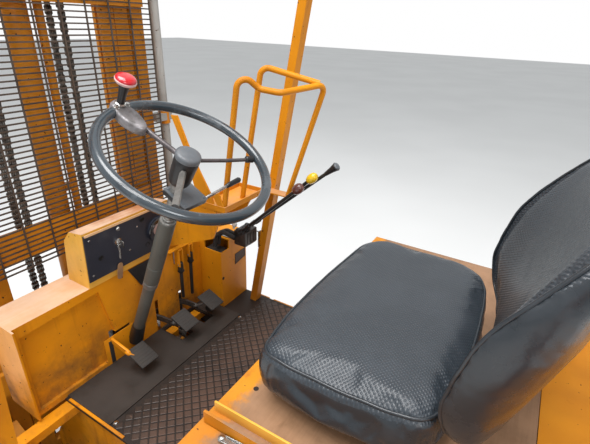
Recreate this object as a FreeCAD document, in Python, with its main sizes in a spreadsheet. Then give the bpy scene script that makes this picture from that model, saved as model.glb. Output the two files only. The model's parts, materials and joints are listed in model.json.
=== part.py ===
"""Small counterbalanced forklift truck with a two-stage mast, as separate named pieces.

+X points forward to the forks, +Y to the driver's left and +Z up. The origin is on the
ground, halfway between the fork tips and the counterweight's rear face. Sizes are in mm.
"""
import FreeCAD
import Part
import Sketcher
import math
import os
import re
from types import SimpleNamespace
from FreeCAD import Placement, Rotation, Vector

# Driving dimensions: alias, value in mm or degrees, what it sets
DIMENSIONS = (
    ("front_axle_x", 180, "front axle centre"),
    ("wheelbase", 1290, "front axle to rear axle"),
    ("front_tyre_r", 270, "front tyre radius, which is also the axle height"),
    ("front_tyre_w", 145, "front tyre width"),
    ("front_rim_r", 152, "front tyre bead radius"),
    ("front_wheel_y", 467, "centreline to the middle of a front tyre"),
    ("rear_tyre_r", 225, "rear tyre radius"),
    ("rear_tyre_w", 130, "rear tyre width"),
    ("rear_rim_r", 118, "rear tyre bead radius"),
    ("rear_wheel_y", 440, "centreline to the middle of a rear tyre"),
    ("kingpin_y", 345, "centreline to a kingpin"),
    ("kingpin_r", 16, "kingpin radius"),
    ("tyre_shoulder", 22, "tyre shoulder rounding"),
    ("rim_wall", 8, "thickness of the rim barrel"),
    ("disc_wall", 12, "thickness of the wheel disc"),
    ("hub_r", 48, "wheel hub radius"),
    ("stud_circle_r", 68, "radius of the wheel nuts' circle"),
    ("stud_r", 9, "wheel nut radius"),
    ("axle_tube_r", 50, "front axle tube radius"),
    ("axle_case_r", 105, "radius of the drive case in the middle of the front axle"),
    ("axle_case_half", 190, "half length of the drive case"),
    ("run_gap", 0.3, "clearance between faces that run on each other"),
    ("body_half", 520, "half width over the side skirts"),
    ("skirt_gauge", 12, "side skirt thickness"),
    ("rail_y", 222, "centreline to the inner face of a frame rail"),
    ("rail_gauge", 15, "frame rail thickness"),
    ("frame_bottom", 150, "ground clearance under the frame"),
    ("bed_gauge", 10, "bottom plate thickness"),
    ("floor_z", 600, "driver's floor height"),
    ("floor_gauge", 8, "floor plate thickness"),
    ("floor_left", 250, "left edge of the floor plate, at the step well"),
    ("floor_inset", 15, "side skirt's outer face to the right edge of the floor plate"),
    ("mat_gauge", 4, "rubber mat thickness"),
    ("mat_rear_x", -85, "rear edge of the mat"),
    ("step_z", 335, "height of the step on the left"),
    ("step_gauge", 8, "step plate thickness"),
    ("bulkhead_x", 105, "driver's side of the bulkhead"),
    ("sheet", 5, "thickness of the body sheets"),
    ("recess", 11, "depth of the pressed recess in the bulkhead"),
    ("cowl_z", 910, "height of the cowl top"),
    ("cowl_front_x", 228, "front edge of the cowl top"),
    ("cowl_left", 335, "left end of the cowl"),
    ("cowl_right", 352, "right end of the cowl, at the side box"),
    ("dash_left", 108, "left end of the dash box"),
    ("dash_right", 205, "right end of the dash box"),
    ("dash_height", 182, "height of the dash box over the cowl"),
    ("dash_depth", 98, "depth of the dash box at its foot"),
    ("dash_lean", 12, "how far the dash panel leans back at its top"),
    ("panel_gauge", 4, "dash panel thickness"),
    ("gauge_r", 42, "radius of the dial on the dash"),
    ("box_rear_x", 0, "rear face of the right side box"),
    ("box_front_x", 225, "front face of the right side box"),
    ("box_top_z", 885, "top of the right side box"),
    ("box_inset", 15, "side skirt's outer face to the side box's outer side"),
    ("hood_front_x", -540, "front face of the hood"),
    ("hood_rear_x", -1040, "rear edge of the hood, at its hinge"),
    ("hood_z", 1015, "height of the hood top"),
    ("hood_inset", 20, "side skirt's outer face to the side of the hood"),
    ("hinge_pin_r", 5, "radius of the hood's hinge pins"),
    ("hood_bottom_z", 612, "lower edge of the hood"),
    ("battery_half", 400, "half width of the battery"),
    ("battery_z", 488, "height of the battery's underside"),
    ("battery_top_z", 985, "height of the battery's top"),
    ("weight_rear_x", -1505, "rear face of the counterweight"),
    ("weight_front_x", -1046, "front face of the counterweight behind the battery"),
    ("weight_top_z", 990, "top of the counterweight"),
    ("weight_bottom_z", 165, "underside of the counterweight"),
    ("weight_corner_r", 130, "rounding of the counterweight's rear corners"),
    ("arch_r", 285, "wheel arch radius about the kingpin"),
    ("arch_top_z", 470, "wheel arch height"),
    ("tow_z", 430, "middle of the tow slot"),
    ("tow_slot", 90, "height of the tow slot"),
    ("tow_pin_r", 12, "tow pin radius"),
    ("pillar_inset", 45, "side skirt's outer face to the middle of a guard pillar"),
    ("pillar_w", 34, "pillar width across the truck"),
    ("pillar_d", 28, "pillar depth along the truck"),
    ("pillar_foot_x", -68, "front pillar centre at the floor"),
    ("pillar_lean", 0.168, "front pillar's backward lean, run over rise"),
    ("guard_z", 2080, "top of the overhead guard"),
    ("guard_rail", 40, "height of the roof rails"),
    ("guard_rear_x", -1190, "rear end of the roof"),
    ("slat_w", 14, "thickness of a roof slat"),
    ("slat_pitch", 105, "spacing of the roof slats"),
    ("tray_rise", 196, "underside of the console's tray over the cowl"),
    ("tray_gap", 65, "from the middle of the guard's pillar to the console tray's side"),
    ("hoop_r", 8.5, "radius of the hoop's tube"),
    ("hoop_bend", 24, "bend radius of the hoop's tube"),
    ("hoop_x", -138, "near foot of the hoop"),
    ("hoop_y", -222, "near foot of the hoop"),
    ("hoop_reach", 224, "how far the hoop leans back"),
    ("hoop_width", 212, "distance between the hoop's feet"),
    ("hoop_height", 414, "height of the hoop over the tray"),
    ("wheel_x", -256, "steering wheel centre"),
    ("wheel_y", 30, "steering wheel centre"),
    ("wheel_z", 1357, "steering wheel centre"),
    ("column_tilt", 28.5, "steering wheel's axis, back from upright, in degrees"),
    ("wheel_r", 202, "steering wheel radius over the rim"),
    ("grip_r", 12, "radius of the rim's section"),
    ("spoke_r", 5, "spoke radius"),
    ("cap_r", 30, "steering hub radius"),
    ("cap_low", 75, "depth of the steering hub below the rim's plane"),
    ("neck_r", 11, "radius of the column's neck"),
    ("column_x", -150, "top of the column"),
    ("column_z", 1210, "top of the column"),
    ("column_lean", 26.8, "column's lean back from upright, in degrees"),
    ("upper_r", 20, "radius of the upper column tube"),
    ("clamp_low", 252, "clamp ring, along the column"),
    ("clamp_r", 24, "clamp ring radius"),
    ("lower_r", 18, "radius of the lower column tube"),
    ("boot_low", 515, "top of the boot, along the column"),
    ("boot_r", 27, "radius of the boot"),
    ("seat_y", -6, "middle of the seat"),
    ("seat_w", 500, "width of the seat cushion"),
    ("seat_front_x", -575, "front edge of the cushion"),
    ("seat_rear_x", -905, "rear edge of the cushion"),
    ("seat_gap", 37, "underside of the cushion over the hood"),
    ("seat_thick", 90, "thickness of the cushion"),
    ("seat_round", 28, "rounding of the cushion's upper edges"),
    ("seat_corner", 60, "rounding of the cushion's front corners"),
    ("back_rise", 358, "top of the backrest over the cushion"),
    ("back_depth", 93, "thickness of the backrest at its wings"),
    ("back_shell", 50, "thickness of the backrest between its wings"),
    ("mast_half", 378, "half width over the outer uprights"),
    ("mast_rear_x", 315, "rear face of the outer uprights"),
    ("rail_depth", 110, "depth of an upright"),
    ("flange_w", 49, "flange width of an upright"),
    ("flange_gauge", 14, "flange thickness of an upright"),
    ("web_gauge", 12, "web thickness of an upright"),
    ("stage_gap", 5, "gap between the two stages"),
    ("outer_bottom_z", 90, "foot of the outer mast"),
    ("outer_top_z", 2090, "top of the outer mast"),
    ("inner_bottom_z", 160, "foot of the inner mast when lowered"),
    ("inner_top_z", 2075, "top of the inner mast when lowered"),
    ("beam_gauge", 18, "thickness of the outer mast's cross beams"),
    ("inner_beam_gauge", 12, "thickness of the inner mast's cross beams"),
    ("cylinder_x", 376, "lift cylinder centre"),
    ("sheave_pin_r", 8, "radius of the sheaves' pins"),
    ("pole_r", 16, "radius of the pole beside the right upright"),
    ("pole_y", -433, "pole beside the right upright"),
    ("cylinder_r", 33.5, "lift cylinder radius"),
    ("bore_r", 27, "lift cylinder bore radius"),
    ("lift_rod_r", 21, "lift rod radius"),
    ("cylinder_drop", 125, "top of the lift cylinder under the inner mast's top"),
    ("chain_y", 115, "centreline to a lift chain"),
    ("chain_w", 20, "chain width"),
    ("chain_t", 9, "chain thickness"),
    ("sheave_r", 26, "radius of the chain's run on its sheave"),
    ("sheave_drop", 70, "sheaves' centre under the inner mast's top"),
    ("anchor_z", 622, "fixed ends of the anchor chains"),
    ("mesh_half", 392, "half width of the mesh guard"),
    ("mesh_low_z", 930, "lower edge of the mesh guard"),
    ("mesh_high_z", 2040, "upper edge of the mesh guard"),
    ("mesh_pitch", 15.5, "spacing of the level wires"),
    ("mesh_step", 74, "spacing of the upright wires"),
    ("wire", 4, "wire thickness"),
    ("carriage_x", 442, "rear face of the fork bars"),
    ("bar_gauge", 28, "thickness of the fork bars"),
    ("bar_half", 376, "half length of the fork bars"),
    ("low_bar_z", 168, "underside of the lower fork bar"),
    ("high_bar_z", 520, "underside of the upper fork bar"),
    ("bar_height", 90, "height of a fork bar"),
    ("fork_length", 1000, "length of the fork blades"),
    ("fork_w", 100, "fork width"),
    ("fork_gauge", 35, "fork thickness at the heel"),
    ("fork_tip", 12, "fork thickness at the tip"),
    ("fork_y", 210, "centreline to the middle of a fork"),
    ("fork_low_z", 60, "underside of the blades when lowered"),
    ("tilt_y", 190, "centreline to a tilt cylinder"),
    ("tilt_barrel_x", -260, "tilt cylinder's rear pin"),
    ("tilt_barrel_z", 470, "tilt cylinder's rear pin"),
    ("tilt_eye_x", 272, "tilt rod's eye pin on the mast"),
    ("tilt_eye_z", 560, "tilt rod's eye pin on the mast"),
    ("tilt_r", 27, "tilt cylinder radius"),
    ("tilt_rod_r", 13, "tilt rod radius"),
    ("tilt_pin_r", 11, "tilt cylinder pin radius"),
    ("tilt_length", 330, "length of the tilt cylinder's barrel from its rear pin"),
    ("eye_gap", 1.6, "clearance round the pin at the tilt rod's open eye"),
)
# Places that follow other sizes: name and formula
FOLLOWING = {
    "pillar_y": "(body_half - pillar_inset)",
    "floor_right": "(body_half - floor_inset)",
    "box_outer": "(body_half - box_inset)",
    "hood_half": "(body_half - hood_inset)",
    "dash_top_z": "(cowl_z + dash_height)",
    "tray_z": "(cowl_z + tray_rise)",
    "tray_right": "(body_half - pillar_inset - tray_gap)",
    "seat_low_z": "(hood_z + seat_gap)",
    "seat_top_z": "(hood_z + seat_gap + seat_thick)",
    "sheave_z": "(inner_top_z - sheave_drop)",
    "cylinder_top_z": "(inner_top_z - cylinder_drop)",
}


doc = FreeCAD.newDocument("forklift")
sheet = doc.addObject("Spreadsheet::Sheet", "Dims")
for row, (alias, value, note) in enumerate(DIMENSIONS, 1):
    sheet.set(f"A{row}", alias)
    sheet.set(f"B{row}", str(value))
    sheet.setAlias(f"B{row}", alias)
    sheet.set(f"C{row}", note)
doc.recompute()
D = SimpleNamespace(**{alias: float(getattr(sheet, alias)) for alias, _, _ in DIMENSIONS})

SIDES = (("left", 1), ("right", -1))
TURN_TO = {
    "x": Rotation(Vector(0, 1, 0), 90),
    "y": Rotation(Vector(1, 0, 0), -90),
    "z": Rotation(),
}
nodes = {}


def formula(text):
    """The same formula with its sizes read from the sheet."""
    name_of_size = r"[a-z][a-z0-9_]*"
    whole = re.sub(name_of_size, lambda word: FOLLOWING.get(word[0], word[0]), str(text))
    return re.sub(name_of_size, lambda word: f"Dims.{word[0]}" if hasattr(D, word[0]) else word[0], whole)


def bind(part, **properties):
    """Bind properties to formulas; two underscores stand for a dot in the property's path."""
    for path, text in properties.items():
        part.setExpression(path.replace("__", "."), formula(text))


def move(part, x=0, y=0, z=0):
    bind(part, Placement__Base__x=x, Placement__Base__y=y, Placement__Base__z=z)
    return part


def block(name, x, y, z):
    """Box between the low and high formulas given for each axis."""
    part = doc.addObject("Part::Box", name)
    bind(part, Length=f"({x[1]}) - ({x[0]})", Width=f"({y[1]}) - ({y[0]})", Height=f"({z[1]}) - ({z[0]})")
    return move(part, x[0], y[0], z[0])


def mirrored_blocks(name, x, y, z):
    """The same box on the left and on the right of the centreline."""
    left = block(name + "_left", x, y, z)
    right = block(name + "_right", x, (f"-({y[1]})", f"-({y[0]})"), z)
    return [left, right]


def rod(name, axis, radius, span, x=0, y=0, z=0):
    """Cylinder along an axis, from the low to the high formula of its span."""
    part = doc.addObject("Part::Cylinder", name)
    part.Placement = Placement(Vector(), TURN_TO[axis])
    bind(part, Radius=radius, Height=f"({span[1]}) - ({span[0]})")
    centre = {"x": x, "y": y, "z": z}
    centre[axis] = span[0]
    return move(part, **centre)


def join(name, parts):
    part = doc.addObject("Part::MultiFuse", name)
    part.Shapes = parts
    part.Refine = True
    return part


def cut(name, base, tools):
    part = doc.addObject("Part::Cut", name)
    part.Base = base
    part.Tool = tools[0] if len(tools) == 1 else join(name + "_tools", tools)
    return part


def common(name, one, other):
    part = doc.addObject("Part::MultiCommon", name)
    part.Shapes = [one, other]
    return part


def outline_sketch(body, name, plane, outline):
    """Closed outline of straight sides on one of the body's planes, each corner held by two formulas."""
    sketch = body.newObject("Sketcher::SketchObject", name)
    origin = next(f for f in body.Origin.OriginFeatures if f.Role == plane + "_Plane")
    sketch.AttachmentSupport = [(origin, "")]
    sketch.MapMode = "FlatFace"
    count = len(outline)
    start = [Vector(math.cos(2 * math.pi * i / count), math.sin(2 * math.pi * i / count)) * 100
             for i in range(count)]
    for i in range(count):
        sketch.addGeometry(Part.LineSegment(start[i], start[(i + 1) % count]))
    for i in range(count):
        sketch.addConstraint(Sketcher.Constraint("Coincident", i, 2, (i + 1) % count, 1))
    for i, corner in enumerate(outline):
        for kind, text, value in zip(("DistanceX", "DistanceY"), corner, (start[i].x, start[i].y)):
            place = sketch.addConstraint(Sketcher.Constraint(kind, -1, 1, i, 1, value))
            sketch.setExpression(f"Constraints[{place}]", formula(text))
    return sketch


def plate(name, plane, outline, span):
    """Plate with its outline in the XY, XZ or YZ plane, over the low and high formulas across it."""
    body = doc.addObject("PartDesign::Body", name)
    sketch = outline_sketch(body, name + "_outline", plane, outline)
    offset = f"-({span[1]})" if plane == "XZ" else span[0]
    bind(sketch, AttachmentOffset__Base__z=offset)
    pad = body.newObject("PartDesign::Pad", name + "_pad")
    pad.Profile = sketch
    bind(pad, Length=f"({span[1]}) - ({span[0]})")
    return body


def lathe(name, outline, x=0, y=0, z=0):
    """Ring turned about the Y direction; its outline is (place along Y, radius)."""
    body = doc.addObject("PartDesign::Body", name)
    sketch = outline_sketch(body, name + "_outline", "YZ", outline)
    turn = body.newObject("PartDesign::Revolution", name + "_turn")
    turn.Profile = sketch
    turn.ReferenceAxis = (sketch, ["H_Axis"])
    turn.Angle = 360
    return move(body, x, y, z)


def rounded(body, radius, picks, name="round"):
    """Round the body's edges that picks accepts, given each edge's middle and direction."""
    doc.recompute()
    found = []
    for place, edge in enumerate(body.Shape.Edges, 1):
        middle = edge.valueAt((edge.FirstParameter + edge.LastParameter) / 2)
        along = edge.tangentAt(edge.FirstParameter)
        if picks(middle, along):
            found.append(f"Edge{place}")
    last = body.Tip
    fillet = body.newObject("PartDesign::Fillet", f"{body.Name}_{name}")
    fillet.Base = (last, found)
    bind(fillet, Radius=radius)
    return body


def keep(label, part):
    """Name a finished piece."""
    part.Label = label
    nodes[label] = part
    return part


def bent_tube(points, radius, bend):
    """Tube through the points, with an arc of the given radius at each inner point."""
    edges = []
    last = points[0]
    for before, corner, after in zip(points, points[1:], points[2:]):
        back = (before - corner).normalize()
        ahead = (after - corner).normalize()
        half = math.acos(max(-1, min(1, back.dot(ahead)))) / 2
        reach = bend / math.tan(half)
        centre = corner + (back + ahead).normalize() * (bend / math.sin(half))
        first = corner + back * reach
        second = corner + ahead * reach
        middle = centre + (corner - centre).normalize() * bend
        edges.append(Part.LineSegment(last, first).toShape())
        edges.append(Part.Arc(first, middle, second).toShape())
        last = second
    edges.append(Part.LineSegment(last, points[-1]).toShape())
    path = Part.Wire(edges)
    ring = Part.Wire([Part.Circle(points[0], points[1] - points[0], radius).toShape()])
    return path.makePipeShell([ring], True, True)


# Chassis: skirts, frame rails, bottom plate, step, wheel guards and pillar feet
AXLE_Z = "front_tyre_r"
REAR_AXLE_X = "(front_axle_x - wheelbase)"
ARCH_FRONT_X = "(front_axle_x - wheelbase + arch_r + 3)"
GUARD_IN = "(front_tyre_r + 35)"
GUARD_OUT = "(front_tyre_r + 43)"
GUARD_REAR_X = "(front_axle_x - front_tyre_r - 40)"
HINGE_X = "(hood_rear_x - 3)"
HINGE_Z = "(hood_z - 12)"
HINGE_SPANS = {"left": ("250", "330"), "right": ("-330", "-250")}


def make_chassis():
    floor_under = "(floor_z - floor_gauge)"
    skirt = [(ARCH_FRONT_X, "frame_bottom"), (GUARD_REAR_X, "frame_bottom"), (GUARD_REAR_X, floor_under),
             (ARCH_FRONT_X, floor_under)]
    left_skirt = [(ARCH_FRONT_X, "frame_bottom"), (GUARD_REAR_X, "frame_bottom"), (GUARD_REAR_X, floor_under),
                  ("-125", floor_under), ("-125", "step_z"), ("hood_front_x + 20", "step_z"),
                  ("hood_front_x + 20", floor_under), (ARCH_FRONT_X, floor_under)]
    skirt_span = ("body_half - skirt_gauge", "body_half")
    parts = [
        plate("skirt_left", "XZ", left_skirt, skirt_span),
        plate("skirt_right", "XZ", skirt, ("-body_half", "skirt_gauge - body_half")),
        block("bed", (ARCH_FRONT_X, GUARD_REAR_X), ("-body_half", "body_half"),
              ("frame_bottom", "frame_bottom + bed_gauge")),
        block("rear_wall", (ARCH_FRONT_X, f"{ARCH_FRONT_X} + bed_gauge"), ("-body_half", "body_half"),
              ("frame_bottom", "battery_z")),
        block("step", ("hood_front_x + 20", "-125"), ("floor_left + 20", "body_half"),
              ("step_z - step_gauge", "step_z")),
        block("step_inner", ("hood_front_x", "-110"), ("floor_left - 8", "floor_left"),
              ("frame_bottom", floor_under)),
        block("cross", ("bulkhead_x - 45", "bulkhead_x - 5"), ("-body_half", "body_half"),
              (f"{floor_under} - 28", floor_under)),
    ]
    for side, y, top in (("left", ("pillar_y - pillar_w / 2 - 6", "body_half"), "floor_z"),
                         ("right", ("-body_half", "6 + pillar_w / 2 - pillar_y"), floor_under)):
        parts.append(block(f"foot_{side}", ("pillar_foot_x - 42", "pillar_foot_x + 42"), y,
                           (f"{floor_under} - 120", top)))
    rail = [(ARCH_FRONT_X, "frame_bottom"), ("front_axle_x - 130", "frame_bottom"),
            ("front_axle_x + 65", "front_tyre_r - 70"), ("front_axle_x + 65", "front_tyre_r + 75"),
            ("bulkhead_x - 5", floor_under), ("hood_front_x", floor_under), ("hood_front_x", "battery_z"),
            (ARCH_FRONT_X, "battery_z")]
    for side, sign in SIDES:
        span = ("rail_y", "rail_y + rail_gauge") if sign > 0 else ("-rail_y - rail_gauge", "-rail_y")
        parts.append(plate(f"rail_{side}", "XZ", rail, span))
        tyre_in = "front_wheel_y - front_tyre_w / 2"
        guard_span = (tyre_in, "body_half") if sign > 0 else ("-body_half", f"-({tyre_in})")
        shell = cut(f"guard_shell_{side}",
                    rod(f"guard_out_{side}", "y", GUARD_OUT, guard_span, x="front_axle_x", z=AXLE_Z),
                    [rod(f"guard_in_{side}", "y", GUARD_IN, guard_span, x="front_axle_x", z=AXLE_Z)])
        window = block(f"guard_window_{side}", ("front_axle_x - 400", "front_axle_x + 190"),
                       ("-700", "700"), (AXLE_Z, f"{AXLE_Z} + 400"))
        parts.append(common(f"wheel_guard_{side}", shell, window))
        pin = ("tilt_y - 20", "rail_y + 5") if sign > 0 else ("-rail_y - 5", "20 - tilt_y")
        parts.append(rod(f"tilt_pin_{side}", "y", "tilt_pin_r", pin, x="tilt_barrel_x", z="tilt_barrel_z"))
        boss = ("tilt_y + 14", "rail_y + 5") if sign > 0 else ("-rail_y - 5", "-tilt_y - 14")
        parts.append(rod(f"tilt_boss_{side}", "y", "tilt_pin_r + 12", boss, x="tilt_barrel_x", z="tilt_barrel_z"))
    bore = rod("axle_bore", "y", "axle_tube_r + run_gap", ("-300", "300"), x="front_axle_x", z=AXLE_Z)
    keep("chassis_frame", cut("frame_bored", join("frame_joined", parts), [bore]))


def make_counterweight():
    profile = [("weight_front_x", "weight_top_z"), ("weight_front_x", "battery_z"), (ARCH_FRONT_X, "battery_z"),
               (ARCH_FRONT_X, "weight_bottom_z"), ("weight_rear_x + 70", "weight_bottom_z"),
               ("weight_rear_x", "weight_bottom_z + 95"), ("weight_rear_x", "weight_top_z - 150"),
               ("weight_rear_x + 65", "weight_top_z - 60"), ("weight_front_x - 160", "weight_top_z")]
    plan = [(ARCH_FRONT_X, "-body_half"), (ARCH_FRONT_X, "body_half"), ("weight_rear_x", "body_half"),
            ("weight_rear_x", "-body_half")]
    side_form = plate("weight_side", "XZ", profile, ("-body_half", "body_half"))
    plan_form = plate("weight_plan", "XY", plan, ("weight_bottom_z - 10", "weight_top_z + 10"))
    rounded(plan_form, "weight_corner_r", lambda at, along: abs(along.z) > 0.9 and at.x < D.weight_rear_x + 1)
    cast = common("weight_cast", side_form, plan_form)
    tools = [
        block("axle_tunnel", (f"{REAR_AXLE_X} - 65", f"{REAR_AXLE_X} + 65"), ("-kingpin_y", "kingpin_y"),
              ("0", "rear_tyre_r + 90")),
        block("tow_mouth", ("weight_rear_x - 10", "weight_rear_x + 75"), ("-65", "65"),
              ("tow_z - tow_slot / 2", "tow_z + tow_slot / 2")),
        rod("tow_bore", "z", "tow_pin_r + run_gap", ("tow_z - tow_slot / 2 - 55", "weight_top_z + 20"),
            x="weight_rear_x + 38"),
    ]
    for side, sign in SIDES:
        kingpin = f"{sign} * kingpin_y"
        outward = (kingpin, "700") if sign > 0 else ("-700", kingpin)
        tools.append(rod(f"arch_{side}", "z", "arch_r", ("0", "arch_top_z"), x=REAR_AXLE_X, y=kingpin))
        tools.append(block(f"arch_side_{side}", (f"{REAR_AXLE_X} - arch_r", f"{REAR_AXLE_X} + arch_r + 10"),
                           outward, ("0", "arch_top_z")))
    hinges = []
    for side, (low, high) in HINGE_SPANS.items():
        hinges.append(rod(f"hinge_pin_{side}", "y", "hinge_pin_r", (f"{low} - 14", f"{high} + 14"), x=HINGE_X,
                          z=HINGE_Z))
        ends = (("right", (f"{low} - 14", f"{low} - run_gap")), ("left", (f"{high} + run_gap", f"{high} + 14")))
        for end, span in ends:
            hinges.append(block(f"hinge_lug_{side}_{end}", (f"{HINGE_X} - 30", f"{HINGE_X} + 9"), span,
                                ("weight_top_z", f"{HINGE_Z} + 6.5")))
    keep("counterweight", join("weight_joined", [cut("weight_open", cast, tools)] + hinges))
    pin = join("tow_pin_joined", [
        rod("tow_pin_shank", "z", "tow_pin_r", ("tow_z - tow_slot / 2 - 50", "weight_top_z - 60"),
            x="weight_rear_x + 38"),
        rod("tow_pin_head", "z", "tow_pin_r + 8", ("weight_top_z - 60", "weight_top_z - 42"),
            x="weight_rear_x + 38"),
    ])
    keep("tow_pin", pin)


def make_floor():
    keep("battery_block", block("battery", ("hood_rear_x + 12", "hood_front_x - 32"),
                                ("-battery_half", "battery_half"), ("battery_z", "battery_top_z")))
    slab = block("floor_slab", ("hood_front_x + 4", "bulkhead_x"), ("-floor_right", "floor_left"),
                 ("floor_z - floor_gauge", "floor_z"))
    slots = [block(f"pedal_slot_{side}", ("bulkhead_x - 105", "bulkhead_x - 12"), (f"{y} - 22", f"{y} + 22"),
                   ("floor_z - 100", "floor_z + 100")) for side, y in (("brake", -150), ("drive", -262))]
    keep("floor_plate", cut("floor_slotted", slab, slots))
    mat = block("mat_slab", ("mat_rear_x", "bulkhead_x"), ("-cowl_right", "floor_left - 10"),
                ("floor_z", "floor_z + mat_gauge"))
    mat_slots = [block(f"mat_slot_{side}", ("bulkhead_x - 110", "bulkhead_x - 7"), (f"{y} - 27", f"{y} + 27"),
                       ("floor_z - 100", "floor_z + 100")) for side, y in (("brake", -150), ("drive", -262))]
    keep("floor_mat", cut("mat_slotted", mat, mat_slots))


def make_cowl():
    back = ("bulkhead_x", "bulkhead_x + recess + sheet")
    wall = block("bulkhead_wall", back, ("-cowl_right", "cowl_left"), ("floor_z", "cowl_z"))
    press = [("84", "cowl_z - 24"), ("cowl_left - 18", "cowl_z - 34"), ("cowl_left - 18", "floor_z + 18"),
             ("70", "floor_z + 18"), ("52", "floor_z + 120")]
    pan = plate("recess_pan", "YZ", press, ("bulkhead_x - 20", "bulkhead_x + recess"))
    grown = [("84 - sheet", "cowl_z - 24 + sheet"), ("cowl_left - 18 + sheet", "cowl_z - 34 + sheet"),
             ("cowl_left - 18 + sheet", "floor_z + 18 - sheet"), ("70 - sheet", "floor_z + 18 - sheet"),
             ("52 - sheet", "floor_z + 120")]
    relief = cut("relief", block("relief_slab", ("bulkhead_x + sheet", "bulkhead_x + recess + sheet + 5"),
                                 ("-cowl_right", "cowl_left"), ("floor_z - 5", "cowl_z")),
                 [plate("recess_back", "YZ", grown, ("bulkhead_x - 20", "bulkhead_x + recess + 20"))])
    skin = join("cowl_joined", [
        cut("bulkhead_pressed", wall, [pan, relief]),
        block("cowl_top", ("bulkhead_x", "cowl_front_x"), ("-cowl_right", "cowl_left"), ("cowl_z - sheet", "cowl_z")),
        block("cowl_lip", ("cowl_front_x - sheet", "cowl_front_x"), ("-cowl_right", "cowl_left"),
              ("cowl_z - 60", "cowl_z")),
        block("cowl_end_left", ("bulkhead_x - 16", "cowl_front_x"), ("cowl_left - sheet", "cowl_left"),
              ("floor_z", "cowl_z")),
        block("cowl_end_right", ("bulkhead_x", "cowl_front_x"), ("-cowl_right", "sheet - cowl_right"),
              ("floor_z", "cowl_z")),
    ])
    slots = [block(f"arm_slot_{name}", ("bulkhead_x - 30", "bulkhead_x + 40"), (f"{y} - 8", f"{y} + 8"),
                   ("floor_z - 5", f"floor_z + {rise}"))
             for name, y, rise in (("inching", 62, 122), ("brake", -120, 132), ("drive", -232, 110))]
    notch = block("column_notch", ("bulkhead_x - 30", "bulkhead_x + 40"), ("wheel_y - 34", "wheel_y + 34"),
                  ("floor_z - 5", "floor_z + 115"))
    keep("front_cowl", cut("cowl_slotted", skin, slots + [notch]))


def make_dash():
    box = [("bulkhead_x - 2", "cowl_z"), ("bulkhead_x - 2 - dash_lean", "dash_top_z"),
           ("bulkhead_x + 45", "dash_top_z - 8"), ("bulkhead_x + 78", "dash_top_z - 44"),
           ("bulkhead_x + dash_depth", "cowl_z")]
    keep("dash_box", plate("dash_form", "XZ", box, ("-dash_right", "dash_left")))
    lean = "dash_lean / (dash_top_z - cowl_z)"
    face = [(f"bulkhead_x - 2 - 22 * {lean}", "cowl_z + 22"), (f"bulkhead_x - 2 - dash_lean * 0.96", "dash_top_z - 7"),
            (f"bulkhead_x - 2 - panel_gauge - dash_lean * 0.96", "dash_top_z - 7"),
            (f"bulkhead_x - 2 - panel_gauge - 22 * {lean}", "cowl_z + 22")]
    panel = plate("panel_form", "XZ", face, ("4 - dash_right", "dash_left - 2"))
    dial = rod("dial_bezel", "x", "gauge_r", ("bulkhead_x - 21", "bulkhead_x - 2"), y="-153", z="cowl_z + 98")
    keep("dash_panel", cut("panel_cut", join("panel_joined", [panel, dial]), [nodes["dash_box"]]))


def make_side_box():
    shell = cut("box_shell", block("box_outer_form", ("box_rear_x", "box_front_x"), ("-box_outer", "-cowl_right - 1"),
                                   ("floor_z", "box_top_z")),
                [block("box_inner_form", ("box_rear_x + sheet", "box_front_x - sheet"),
                       ("sheet - box_outer", "-cowl_right - 1 - sheet"), ("floor_z - 5", "box_top_z - sheet"))])
    mouth = block("box_mouth", ("box_rear_x - 5", "box_rear_x + 80"), ("-cowl_right - 48", "5 - cowl_right"),
                  ("box_top_z - 38", "box_top_z + 5"))
    keep("side_box", cut("box_open", shell, [mouth]))
    tray = cut("tray_hollow", block("tray_form", ("-156", "-48"), ("-tray_right", "-204"), ("tray_z", "tray_z + 18")),
               [block("tray_inside", ("-152", "-52"), ("4 - tray_right", "-208"), ("tray_z + 4", "tray_z + 24"))])
    foot = [("bulkhead_x + 3", "cowl_z"), ("bulkhead_x + 60", "cowl_z"), ("70", "tray_z - 76")]
    tall = foot + [("-12", "tray_z + 4"), ("-35", "tray_z + 60"), ("-3", "tray_z + 179"), ("40", "tray_z + 270"),
                   ("15", "tray_z + 271"), ("-23", "tray_z + 183"), ("-60", "tray_z + 115"), ("-97", "tray_z + 53"),
                   ("-118", "tray_z - 7"), ("-121", "tray_z - 56"), ("-100", "tray_z - 104")]
    low = foot + [("-60", "tray_z"), ("-150", "tray_z"), ("-100", "tray_z - 96")]
    tab = [("-106", "tray_z + 55"), ("-128", "tray_z + 62"), ("-156", "tray_z"), ("-132", "tray_z")]
    keep("lever_console", join("console_joined", [
        tray,
        plate("console_left", "XZ", tall, ("-212", "-206")),
        plate("console_right", "XZ", low, ("64 - tray_right", "70 - tray_right")),
        plate("console_tab", "XZ", tab, ("-212", "-206")),
        block("console_shelf", ("-146", "-62"), ("64 - tray_right", "-208"), ("tray_z - 6", "tray_z")),
        block("tray_flange", ("-170", "-130"), ("pillar_w / 2 - pillar_y", "6 - tray_right"),
              ("tray_z", "tray_z + 4")),
        block("hoop_flange", ("-256", "-130"), ("pillar_w / 2 - pillar_y", "-tray_right - 10"),
              ("tray_z", "tray_z + 4")),
    ]))
    keep("valve_block", join("valve_joined", [
        block("valve_body", ("-100", "-44"), ("55 - box_outer", "131 - box_outer"),
              ("box_top_z + 5", "box_top_z + 65")),
        block("valve_bracket", ("-92", "box_rear_x + 46"), ("55 - box_outer", "99 - box_outer"),
              ("box_top_z", "box_top_z + 5")),
    ]))


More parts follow.
